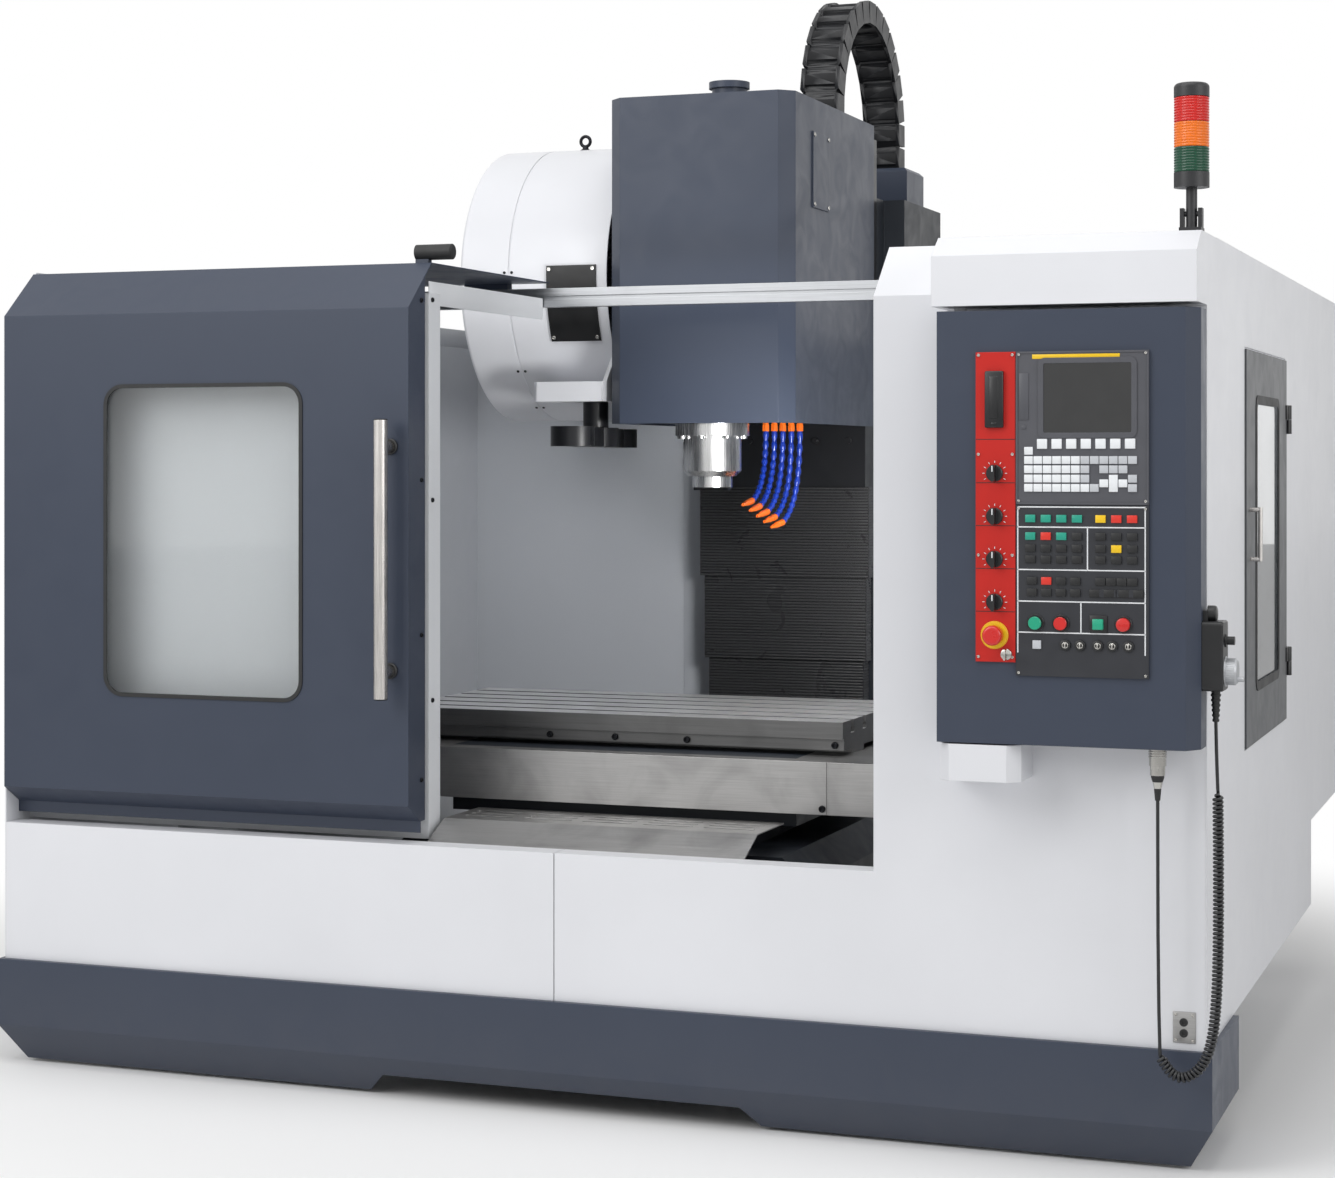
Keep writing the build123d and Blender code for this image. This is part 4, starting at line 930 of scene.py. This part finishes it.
class MACHINE_OT_magazine_fittings(bpy.types.Operator):
    """Make the drum's lifting eye and the screws of its window and seam"""

    bl_idname = "machine.magazine_fittings"
    bl_label = "Magazine fittings"

    def execute(self, context):
        sizes = settings().fitting
        bm = bmesh.new()
        foot = place(-490, drum_y, 2288)
        turned(bm, foot, UP, [(0, 0), (15, 0), (15, 4), (9, 7), (7, 14), (0, 14)], 24)
        ring = bmesh.ops.create_circle(bm, segments=10, radius=4.5 * MM)["verts"]
        middle = foot + UP * 28 * MM
        bmesh.ops.translate(bm, vec=middle + RIGHT * 14 * MM, verts=ring)
        hoop = list({edge for corner in ring for edge in corner.link_edges})
        bmesh.ops.spin(
            bm,
            geom=ring + hoop,
            cent=middle,
            axis=FRONT,
            dvec=(0, 0, 0),
            angle=2 * math.pi,
            steps=28,
            use_merge=True,
        )
        add_piece(bm, "drum_eye", "blackened steel", "machine")
        bm = bmesh.new()
        for x in (-440, -317):
            for level in (1758, 1935):
                self.screw_on_drum(bm, x, level, 378.5, sizes.screw_head, 3)
        add_piece(bm, "port_screws", "nickel plate", "machine")
        bm = bmesh.new()
        for level in (1930, 1673, 1579):
            for x in (-570, -549):
                self.screw_on_drum(bm, x, level, 372.5, sizes.screw_head * 0.7, 2.2)
        add_piece(bm, "drum_seam_screws", "blackened steel", "machine")
        return {"FINISHED"}

    def screw_on_drum(self, bm, x, level, radius, head, height):
        """A screw head on the front of the drum, square to its round face."""
        rise = level - drum_z
        depth = -math.sqrt(radius**2 - rise**2)
        screw(bm, place(x, drum_y + depth, level), Vector((0, depth, rise)), head / MM, height)


class MACHINE_OT_cable_chain(bpy.types.Operator):
    """Make the cable chain between the head and the box on the column, as a still copy of the part's chain"""

    bl_idname = "machine.cable_chain"
    bl_label = "Cable chain"

    def execute(self, context):
        bm = bmesh.new()
        bm.from_mesh(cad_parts["cable_chain"].data)
        chain = add_piece(bm, "energy_chain", "black nylon", None)
        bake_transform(chain)
        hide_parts("cable_chain")
        return {"FINISHED"}


# Keys of the control. Each letter is a key cap: w white, s grey, t green, r red, y yellow and k black.
# A dot is a bare place. Rows run downwards from the first.
screen_keys = ("wwwwwwssssss", "wwwwwws.sss.", "wwwwwws....s", "wwwwwwws...s")
key_left = 1084
key_top = 1434.5
key_pitch = 18.85
key_row = 18.4
key_width = 17.4
key_height = 15.5
key_proud = 3.6
panel_keys = (
    (1318, "tttt", "yrr"),
    (1283, "trtk", "kkk"),
    (1259, "kkkk", "kyk"),
    (1237, "kkkk", "kkk"),
    (1194, "krkk", "kkkk"),
    (1171, "kkkk", "kkkk"),
)
key_finishes = {
    "w": ("white_keys", "white key ABS"),
    "s": ("grey_keys", "grey key ABS"),
    "t": ("green_keys", "green key plastic"),
    "r": ("red_keys", "red key plastic"),
    "y": ("yellow_keys", "yellow plastic"),
    "k": ("black_keys", "black key silicone"),
}


class MACHINE_OT_control_keys(bpy.types.Operator):
    """Make the key caps, buttons and switches of the control"""

    bl_idname = "machine.control_keys"
    bl_label = "Control keys"

    def execute(self, context):
        edge = settings().fitting.key_edge / MM
        meshes = {letter: bmesh.new() for letter in key_finishes}
        for row, letters in enumerate(screen_keys):
            for column, letter in enumerate(letters):
                if letter != ".":
                    x = key_left + key_pitch * column
                    z = key_top - key_row * row
                    on_face(meshes[letter], x, z, key_width, key_height, key_proud, edge)
        # Lone shift key, cursor keys and the row of soft keys under the screen
        on_face(meshes["w"], key_left, key_top + key_row, key_width, key_height, key_proud, edge)
        for column, height in ((8, key_height), (9, key_height + key_row), (10, key_height)):
            x = key_left + key_pitch * column
            on_face(meshes["w"], x, 1388.5, key_width, height, key_proud, edge)
        for column in range(-3, 4):
            on_face(meshes["w"], 1199 + 29.2 * column, 1466.7, 20.4, 19.7, key_proud, edge)
        for level, left, right in panel_keys:
            for middle, letters, pitch in ((1134.5, left, 31.2), (1259.5, right, 31.2)):
                if level < 1200:
                    pitch = 29 if letters is left else 21
                for column, letter in enumerate(letters):
                    x = middle + pitch * (column - (len(letters) - 1) / 2)
                    on_face(meshes[letter], x, level, 20.2, 15.2, 4.6, edge)
        for letter, (name, finish) in key_finishes.items():
            add_piece(meshes[letter], name, finish, "control")
        self.make_buttons()
        self.make_switches()
        return {"FINISHED"}

    def make_buttons(self):
        """Black rings round the four large buttons, and the caps of the two that don't sink."""
        bm = bmesh.new()
        for x in (1098, 1149, 1273.5):
            collar(bm, place(x, control_face, button_z), FRONT, 27.5, 35, 3.6, 1)
        rounded_box(bm, (1206.5, control_face - 3.6, 1092.5), (1241.5, control_face, 1127.5), 1)
        add_piece(bm, "button_rings", "black ABS", "control")
        bm = bmesh.new()
        rounded_box(bm, (1213.5, control_face - 13, 1099.5), (1234.5, control_face, 1120.5), 1.5)
        add_piece(bm, "clamp_button", "green button plastic", "control")
        bm = bmesh.new()
        round_cap(bm, place(1273.5, control_face, button_z), FRONT, 27, 12.6, 2)
        add_piece(bm, "reset_button", "red button plastic", "control")

    def make_switches(self):
        """The lowest row: one grey push button and five key switches with bright barrels."""
        bm = bmesh.new()
        on_face(bm, 1101, switch_z, 17, 17, 5, 1)
        add_piece(bm, "grey_button", "grey key ABS", "control")
        places = (1158, 1187.6, 1222.8, 1251.7, 1283.5)
        bm = bmesh.new()
        for x in places:
            round_cap(bm, place(x, control_face, switch_z), FRONT, 22, 5, 1.2, 24)
        add_piece(bm, "switch_bodies", "black ABS", "control")
        bm = bmesh.new()
        for x in places:
            collar(bm, place(x, control_face - 5, switch_z), FRONT, 9, 13, 1.5, 0.5, 20)
            low = (x - 1.6, control_face - 9, switch_z - 5)
            rounded_box(bm, low, (x + 1.6, control_face - 5, switch_z + 5), 0.6)
        add_piece(bm, "switch_levers", "nickel plate", "control")


class MACHINE_OT_control_fittings(bpy.types.Operator):
    """Make the control's frames, bezel, covers, screws, dials, lock and stop collar"""

    bl_idname = "machine.control_fittings"
    bl_label = "Control fittings"

    def execute(self, context):
        self.make_screen_trim()
        self.make_panel_lines()
        self.make_strip_fittings()
        self.make_dials()
        return {"FINISHED"}

    def make_screen_trim(self):
        """Bezel round the screen, rim of the unit, card cover and the bare yellow strip."""
        bm = bmesh.new()
        rounded_ring(bm, place(1201.5, control_face, 1558), RIGHT, UP, (197, 160), 14, 11, 2.4)
        add_piece(bm, "screen_bezel", "grey ABS", "control")
        bm = bmesh.new()
        rounded_ring(bm, place(1190.5, control_face, 1498.5), RIGHT, UP, (265, 305), 8, 4, 1.6)
        add_piece(bm, "unit_rim", "grey ABS", "control")
        bm = bmesh.new()
        on_face(bm, 1074, 1561, 20, 93, 1.6, 0.8)
        on_face(bm, 1074, 1500, 9, 7, 1.2, 0.5)
        add_piece(bm, "card_cover", "grey ABS", "control")
        bm = bmesh.new()
        on_face(bm, 1178.5, 1640.5, 175, 9, 0.8, 0.3)
        add_piece(bm, "yellow_strip", "yellow plastic", "control")
        corners = [(x, control_face, z) for x in panel_screw_columns for z in (1353, 1645)]
        screws("unit_screws", "nickel plate", "control", corners, FRONT, small_head, 2.6)

    def make_panel_lines(self):
        """Raised white lines that frame the groups of keys."""
        bm = bmesh.new()
        for level in (1341, 1301, 1216, 1153, 1091):
            on_face(bm, 1189, level, 256, 2.6, 0.8, 0.3, 1)
        for x in (1062, 1316):
            on_face(bm, x, 1196, 2.6, 292, 0.8, 0.3, 1)
        on_face(bm, 1202, 1258.5, 2.6, 85, 0.8, 0.3, 1)
        on_face(bm, 1189, 1122, 2.6, 62, 0.8, 0.3, 1)
        add_piece(bm, "panel_lines", "white printing ink", "control")
        corners = [(x, control_face, z) for x in panel_screw_columns for z in (1010, 1338)]
        screws("panel_screws", "nickel plate", "control", corners, FRONT, small_head, 2.6)

    def make_strip_fittings(self):
        """Port cover, seams and screws of the red strip, the stop's yellow collar and the key lock."""
        bm = bmesh.new()
        on_face(bm, knob_x, 1556, 38, 114, 9.8, 3, 3)
        on_face(bm, knob_x, 1560, 18, 84, 11.4, 1.4)
        on_face(bm, knob_x, 1507, 10, 5, 11.4, 1)
        add_piece(bm, "port_cover", "black ABS", "control")
        bm = bmesh.new()
        for level in (1476, 1389, 1303, 1217, 1131):
            on_face(bm, 1016.5, level, 79, 1.4, 0.3, 0.1, 1)
        add_piece(bm, "strip_seams", "black rubber", "control")
        bm = bmesh.new()
        for x in (982, 1051):
            for level in (1645, 1446, 1244, 1040):
                screw(bm, place(x, control_face, level), FRONT, 6.5, 2.6)
        add_piece(bm, "strip_screws", "nickel plate", "control")
        bm = bmesh.new()
        collar(bm, place(knob_x, control_face, stop_z), FRONT, 24, 56, 5.3, 1.6, 48)
        add_piece(bm, "stop_collar", "yellow plastic", "control")
        bm = bmesh.new()
        round_cap(bm, place(1040, control_face, 1046), FRONT, 23, 10.6, 1.6)
        rounded_box(bm, (1037.8, control_face - 27, 1035), (1042.2, control_face - 10, 1057), 1)
        add_piece(bm, "key_lock", "nickel plate", "control")

    def make_dials(self):
        """A pointer on each rotary switch and the marks round it."""
        marks = bmesh.new()
        mark = Matrix.Translation(UP * 23 * MM) @ Matrix.Diagonal((1.3 * MM, 0.6 * MM, 4.5 * MM, 1))
        for body, level in knob_heights.items():
            bm = bmesh.new()
            rounded_box(bm, (knob_x - 1.2, -161, level + 3), (knob_x + 1.2, -159.9, level + 15), 0.4)
            add_piece(bm, body + "_pointer", "white printing ink", body)
            middle = Matrix.Translation(place(knob_x, control_face, level))
            for step in range(-4, 5):
                cube = bmesh.ops.create_cube(marks, size=1)["verts"]
                turn = Matrix.Rotation(math.radians(step * 30), 4, "Y")
                bmesh.ops.transform(marks, matrix=middle @ turn @ mark, verts=cube)
        add_piece(marks, "dial_marks", "white printing ink", "control")


class MACHINE_OT_pendant_fittings(bpy.types.Operator):
    """Make the pendant's boot rings, hanger knob, selector rim and wheel dial, and its cord's connector"""

    bl_idname = "machine.pendant_fittings"
    bl_label = "Pendant fittings"

    def execute(self, context):
        bm = bmesh.new()
        for ring in range(6):
            share = ring / 6
            radius = 10.2 - 4 * share
            collar(bm, place(1441, pendant_y, 972 - 60 * share), -UP, 6, 2 * radius, 5, 1.2, 24)
        add_piece(bm, "boot_rings", "black rubber", "control")
        bm = bmesh.new()
        round_cap(bm, place(1426, pendant_y, 1130), RIGHT, 34, 18, 5)
        add_piece(bm, "hanger_knob", "black ABS", "control")
        self.make_plug_rings()
        bm = bmesh.new()
        collar(bm, place(pendant_face, pendant_y, 1078), RIGHT, 17.4, 26, 3, 1, 28)
        add_piece(bm, "selector_rim", "black ABS", "control")
        bm = bmesh.new()
        collar(bm, place(pendant_face, pendant_y, wheel_z), RIGHT, 53, 60, 2.2, 0.8, 48)
        add_piece(bm, "wheel_dial", "anodised aluminium", "control")
        bm = bmesh.new()
        teeth = 40
        middle = Matrix.Translation(place(pendant_face + 12, pendant_y, wheel_z))
        ridge = Matrix.Translation(UP * 25.6 * MM) @ Matrix.Diagonal((16 * MM, 1.4 * MM, 2.2 * MM, 1))
        for tooth in range(teeth):
            turn = Matrix.Rotation(2 * math.pi * tooth / teeth, 4, "X")
            cube = bmesh.ops.create_cube(bm, size=1)["verts"]
            bmesh.ops.transform(bm, matrix=middle @ turn @ ridge, verts=cube)
        add_piece(bm, "wheel_knurl", "anodised aluminium", "pendant_wheel")
        return {"FINISHED"}

    def make_plug_rings(self):
        """Coupling ring, nut and gland of the cord's connector."""
        bm = bmesh.new()
        for level in (862, 857, 852, 847):
            collar(bm, place(*plug_place, level), -UP, 29, 36, 3.4, 1, 40)
        collar(bm, place(*plug_place, 829), -UP, 24, 32.4, 9, 2, 6)
        add_piece(bm, "coupling_rings", "nickel plate", "control")
        bm = bmesh.new()
        boot = [(4, 0), (13.6, 0), (13.2, 6), (8, 22), (5.2, 52), (4, 52), (4, 0)]
        turned(bm, place(*plug_place, 811), -UP, boot, 28)
        add_piece(bm, "plug_boot", "black rubber", "control")


class MACHINE_OT_tower_lenses(bpy.types.Operator):
    """Make the ribbed lenses of the tower light: green, amber and red from below"""

    bl_idname = "machine.tower_lenses"
    bl_label = "Tower light lenses"

    def execute(self, context):
        ribs = settings().fitting.lens_ribs
        finishes = ("green acrylic lens", "amber acrylic lens", "red acrylic lens")
        bore, groove, crest = 20.6, 33.8, 34.9
        foot, head = 0.4, 49.4
        step = (head - foot) / ribs
        for index, finish in enumerate(finishes):
            base = place(1390, -30, 2007 + 50 * index)
            profile = [(bore, foot), (bore, head)]
            for rib in range(ribs):
                high = head - step * rib
                profile += [(groove, high), (crest, high - step / 3), (crest, high - step * 2 / 3)]
            profile += [(groove, foot), (bore, foot)]
            bm = bmesh.new()
            turned(bm, base, UP, profile, 48)
            lens = add_piece(bm, finish.split()[0] + "_lens", finish, "machine")
            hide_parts("tower_lenses")
        return {"FINISHED"}


class MACHINE_OT_side_fittings(bpy.types.Operator):
    """Make the side door's seal and hinges, the socket plate and the cabinet's hinges and locks"""

    bl_idname = "machine.side_fittings"
    bl_label = "Side and rear fittings"

    def execute(self, context):
        sizes = settings().fitting
        bm = bmesh.new()
        rounded_ring(bm, place(side_face, 912.5, 1247), BACK, UP, (423, 670), 34, 20, 2)
        add_piece(bm, "side_window_seal", "black rubber", "side_door")
        for body, rise, lean in (("machine", 0, 1), ("side_door", 35.3, -1)):
            bm = bmesh.new()
            for low in hinge_lows:
                round_cap(bm, place(*hinge_place, low + rise), UP, 15.4, 35, 1.5, 24)
                ends = sorted((hinge_place[1], hinge_place[1] + lean * 32))
                high = 1423 if lean > 0 else 1424
                rounded_box(bm, (panel_side + 0.2, ends[0], low + rise), (high, ends[1], low + rise + 35), 1)
            add_piece(bm, "hinges_on_" + body, "black ABS", body)
        bm = bmesh.new()
        rounded_box(bm, (1348, -2.2, 265), (1394, 0, 328), 1)
        add_piece(bm, "socket_plate", "brushed stainless sheet", "machine")
        bm = bmesh.new()
        for level in (307, 285):
            collar(bm, place(1370, -2, level), FRONT, 8, 17, 3.4, 1, 28)
            round_cap(bm, place(1370, -2, level), FRONT, 8.4, 1.5, 0.4, 20)
        add_piece(bm, "sockets", "black ABS", "machine")
        corners = [(x, -2.2, z) for x in (1354, 1388) for z in (271, 322)]
        screws("socket_screws", "nickel plate", "machine", corners, FRONT, small_head, 2)
        self.make_cabinet_fittings()
        return {"FINISHED"}

    def make_cabinet_fittings(self):
        """Hinge barrels and quarter-turn locks of the cabinet's door."""
        bm = bmesh.new()
        for level in (620, 1180, 1740):
            round_cap(bm, place(720, 2489, level), UP, 14, 80, 1.5, 20)
        add_piece(bm, "cabinet_hinges", "black ABS", "cabinet_door")
        bm = bmesh.new()
        for level in (828, 1536):
            collar(bm, place(1356, 2497.2, level), BACK, 12, 27, 2.4, 0.8, 28)
            rounded_box(bm, (1354.5, 2497, level - 6), (1357.5, 2499.4, level + 6), 0.5)
        add_piece(bm, "cabinet_locks", "black ABS", "cabinet_door")


# Route of the pendant's cord, as in the part's source
upper_lead_route = [(1441, -53, 919), (1442, -53, 860), (1445, -53, 775)]
coil_route = [
    (1445, -53, 775),
    (1447, -52, 560),
    (1443, -54, 340),
    (1426, -58, 246),
    (1388, -62, 208),
    (1352, -66, 214),
    (1334, -70, 252),
]
lower_lead_route = [(1334, -70, 252), (1330, -73, 420), (1330, -75, 781)]


class MACHINE_OT_cord(bpy.types.Operator):
    """Make the pendant's curly cord"""

    bl_idname = "machine.cord"
    bl_label = "Curly cord"

    def execute(self, context):
        sizes = settings().cord
        route = [place(*point) for point in coil_route]
        line = line_points(smooth_line("coil_route", route, 40))
        runs = [0.0]
        for before, after in zip(line, line[1:]):
            runs.append(runs[-1] + (after - before).length)
        turns = int(runs[-1] / sizes.pitch)
        steps = turns * sizes.turn_points
        radius = (sizes.coil - sizes.wire) / 2
        side = RIGHT.copy()
        curls = []
        here = 0
        for step in range(1, steps):
            run = runs[-1] * step / steps
            while runs[here + 1] < run:
                here += 1
            along = line[here + 1] - line[here]
            middle = line[here] + along * ((run - runs[here]) / along.length)
            heading = along.normalized()
            side = (side - heading * side.dot(heading)).normalized()
            angle = 2 * math.pi * step / sizes.turn_points
            grow = min(1.0, step / sizes.turn_points, (steps - step) / sizes.turn_points)
            around = side * math.cos(angle) + heading.cross(side) * math.sin(angle)
            curls.append(middle + around * radius * grow)
        points = [place(*point) for point in upper_lead_route]
        points += curls
        points += [place(*point) for point in lower_lead_route]
        curve = smooth_line("pendant_cord", points, 2)
        curve.bevel_depth = sizes.wire / 2
        curve.bevel_resolution = 2
        curve.materials.append(made_materials["cord polyurethane"])
        cord = bpy.data.objects.new("pendant_cord", curve)
        bpy.context.scene.collection.objects.link(cord)
        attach(cord, "control")
        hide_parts("cord_coil", "cord_leads")
        return {"FINISHED"}


class MACHINE_OT_stage(bpy.types.Operator):
    """Make the floor, the soft light and the camera"""

    bl_idname = "machine.stage"
    bl_label = "Stage"

    def execute(self, context):
        scene = context.scene
        scene.view_settings.view_transform = "Standard"
        look = settings().stage
        self.make_floor(look)
        self.make_sky(scene, look)
        # Soft boxes: left of the camera, right of it and above, as place, size and power
        middle = (cad_box[0] + cad_box[1]) / 2
        self.make_light("key_light", Vector((-3.2, -5.6, 4.2)), middle, 3.4, look.key_power)
        self.make_light("fill_light", Vector((5.4, -3.2, 3.0)), middle, 3.0, look.fill_power)
        self.make_light("top_light", Vector((0.2, -2.2, 5.4)), middle, 4.2, look.top_power)
        # Behind the right front panel, where the work light of such a machine hangs
        lamp_place = place(720, 260, 1330)
        self.make_light("chamber_light", lamp_place, place(-500, 1750, 950), 0.32, look.chamber_power, 110)
        self.make_camera(scene)
        return {"FINISHED"}

    def make_floor(self, look):
        """A broad pale floor that keeps the machine's shadow and fades to white away from it."""
        fade_start, fade_end, floor_radius = 1.5, 3.4, 40
        tree, at = start_material("matt studio floor")
        cloud = add_node(tree, "ShaderNodeTexNoise", {"Vector": at, "Scale": 0.4, "Detail": 2.0})
        tone = add_node(
            tree,
            "ShaderNodeMix",
            {0: cloud.outputs["Fac"], 6: shade(look.floor, 0.98), 7: look.floor[:]},
            data_type="RGBA",
        )
        surface = add_node(
            tree, "ShaderNodeBsdfPrincipled", {"Base Color": tone.outputs[2], "Roughness": 0.8}
        )
        away = add_node(tree, "ShaderNodeVectorMath", {0: at}, operation="LENGTH")
        fade = add_node(
            tree,
            "ShaderNodeMapRange",
            {"Value": away.outputs["Value"], "From Min": fade_start, "From Max": fade_end},
            interpolation_type="SMOOTHSTEP",
        )
        path = add_node(tree, "ShaderNodeLightPath")
        seen = add_node(
            tree,
            "ShaderNodeMath",
            {0: fade.outputs["Result"], 1: path.outputs["Is Camera Ray"]},
            operation="MULTIPLY",
        )
        white = add_node(tree, "ShaderNodeEmission", {"Color": (1, 1, 1, 1), "Strength": 1.0})
        mixed = add_node(
            tree,
            "ShaderNodeMixShader",
            {0: seen.outputs["Value"], 1: surface.outputs["BSDF"], 2: white.outputs["Emission"]},
        )
        add_node(tree, "ShaderNodeOutputMaterial", {"Surface": mixed.outputs["Shader"]})
        bm = bmesh.new()
        bmesh.ops.create_circle(bm, cap_ends=True, radius=floor_radius, segments=64)
        mesh = bpy.data.meshes.new("floor")
        bm.to_mesh(mesh)
        bm.free()
        mesh.materials.append(made_materials["matt studio floor"])
        floor = bpy.data.objects.new("floor", mesh)
        bpy.context.scene.collection.objects.link(floor)

    def make_sky(self, scene, look):
        """A room that lights evenly, and shows white to the camera, in metal and through glass."""
        world = bpy.data.worlds.new("studio")
        scene.world = world
        world.use_nodes = True
        tree = world.node_tree
        tree.nodes.clear()
        path = add_node(tree, "ShaderNodeLightPath")
        direct = add_node(
            tree,
            "ShaderNodeMath",
            {0: path.outputs["Is Camera Ray"], 1: path.outputs["Is Transmission Ray"]},
            operation="MAXIMUM",
        )
        shown = add_node(
            tree,
            "ShaderNodeMath",
            {0: direct.outputs["Value"], 1: path.outputs["Is Glossy Ray"]},
            operation="MAXIMUM",
        )
        room = add_node(tree, "ShaderNodeBackground", {"Color": (1, 1, 1, 1), "Strength": look.sky})
        white = add_node(tree, "ShaderNodeBackground", {"Color": (1, 1, 1, 1), "Strength": 1.0})
        seen = add_node(
            tree,
            "ShaderNodeMixShader",
            {0: shown.outputs["Value"], 1: room.outputs["Background"], 2: white.outputs["Background"]},
        )
        add_node(tree, "ShaderNodeOutputWorld", {"Surface": seen.outputs["Shader"]})

    def make_light(self, name, where, target, size, power, spread=180):
        """A square soft box that faces a place, with the angle over which it shines in degrees."""
        light = bpy.data.lights.new(name, "AREA")
        light.energy = power
        light.size = size
        light.spread = math.radians(spread)
        lamp = bpy.data.objects.new(name, light)
        bpy.context.scene.collection.objects.link(lamp)
        lamp.location = where
        lamp.rotation_euler = (target - where).to_track_quat("-Z", "Y").to_euler()

    def make_camera(self, scene):
        """The photograph's view: a level camera at eye height, turned a little to the left."""
        photo_width = 1335
        photo_height = 1178
        focal_pixels = 2574.6
        horizon = 462.3
        sine_of_turn = 0.3469
        camera = bpy.data.cameras.new("camera")
        camera.sensor_width = 36
        camera.lens = camera.sensor_width * focal_pixels / photo_width
        camera.shift_y = -(photo_height / 2 - horizon) / photo_width
        eye = bpy.data.objects.new("camera", camera)
        scene.collection.objects.link(eye)
        eye.location = place(2190, -5203.5, 1430)
        eye.rotation_euler = (math.pi / 2, 0, math.asin(sine_of_turn))
        scene.camera = eye


class MachineLooks(bpy.types.PropertyGroup):
    """All settings of the machine's looks."""

    finish: PointerProperty(type=FinishSettings, name="Finishes", description="Colours of the finishes")
    fitting: PointerProperty(type=FittingSettings, name="Fittings", description="Sizes of the fittings")
    cord: PointerProperty(type=CordSettings, name="Cord", description="Sizes of the cord")
    stage: PointerProperty(type=StageSettings, name="Stage", description="Floor, light and camera")


operators = (
    MACHINE_OT_finishes,
    MACHINE_OT_door_fittings,
    MACHINE_OT_chamber_fittings,
    MACHINE_OT_guard_ribs,
    MACHINE_OT_coolant_hoses,
    MACHINE_OT_magazine_fittings,
    MACHINE_OT_cable_chain,
    MACHINE_OT_control_keys,
    MACHINE_OT_control_fittings,
    MACHINE_OT_pendant_fittings,
    MACHINE_OT_tower_lenses,
    MACHINE_OT_side_fittings,
    MACHINE_OT_cord,
    MACHINE_OT_stage,
)


class MACHINE_PT_looks(bpy.types.Panel):
    """The machine's pieces, in the order they are made"""

    bl_idname = "MACHINE_PT_looks"
    bl_label = "Machining centre"
    bl_space_type = "VIEW_3D"
    bl_region_type = "UI"
    bl_category = "Machine"

    def draw(self, context):
        column = self.layout.column(align=True)
        for operator in operators:
            column.operator(operator.bl_idname)


classes = (
    FinishSettings,
    FittingSettings,
    CordSettings,
    StageSettings,
    MachineLooks,
    *operators,
    MACHINE_PT_looks,
)


def register():
    for listed in classes:
        bpy.utils.register_class(listed)
    bpy.types.Scene.machine_looks = PointerProperty(type=MachineLooks)


def unregister():
    del bpy.types.Scene.machine_looks
    for listed in reversed(classes):
        bpy.utils.unregister_class(listed)


def main():
    """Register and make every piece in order."""
    register()
    for operator in operators:
        group, name = operator.bl_idname.split(".")
        getattr(getattr(bpy.ops, group), name)()


if __name__ == "__main__":
    main()
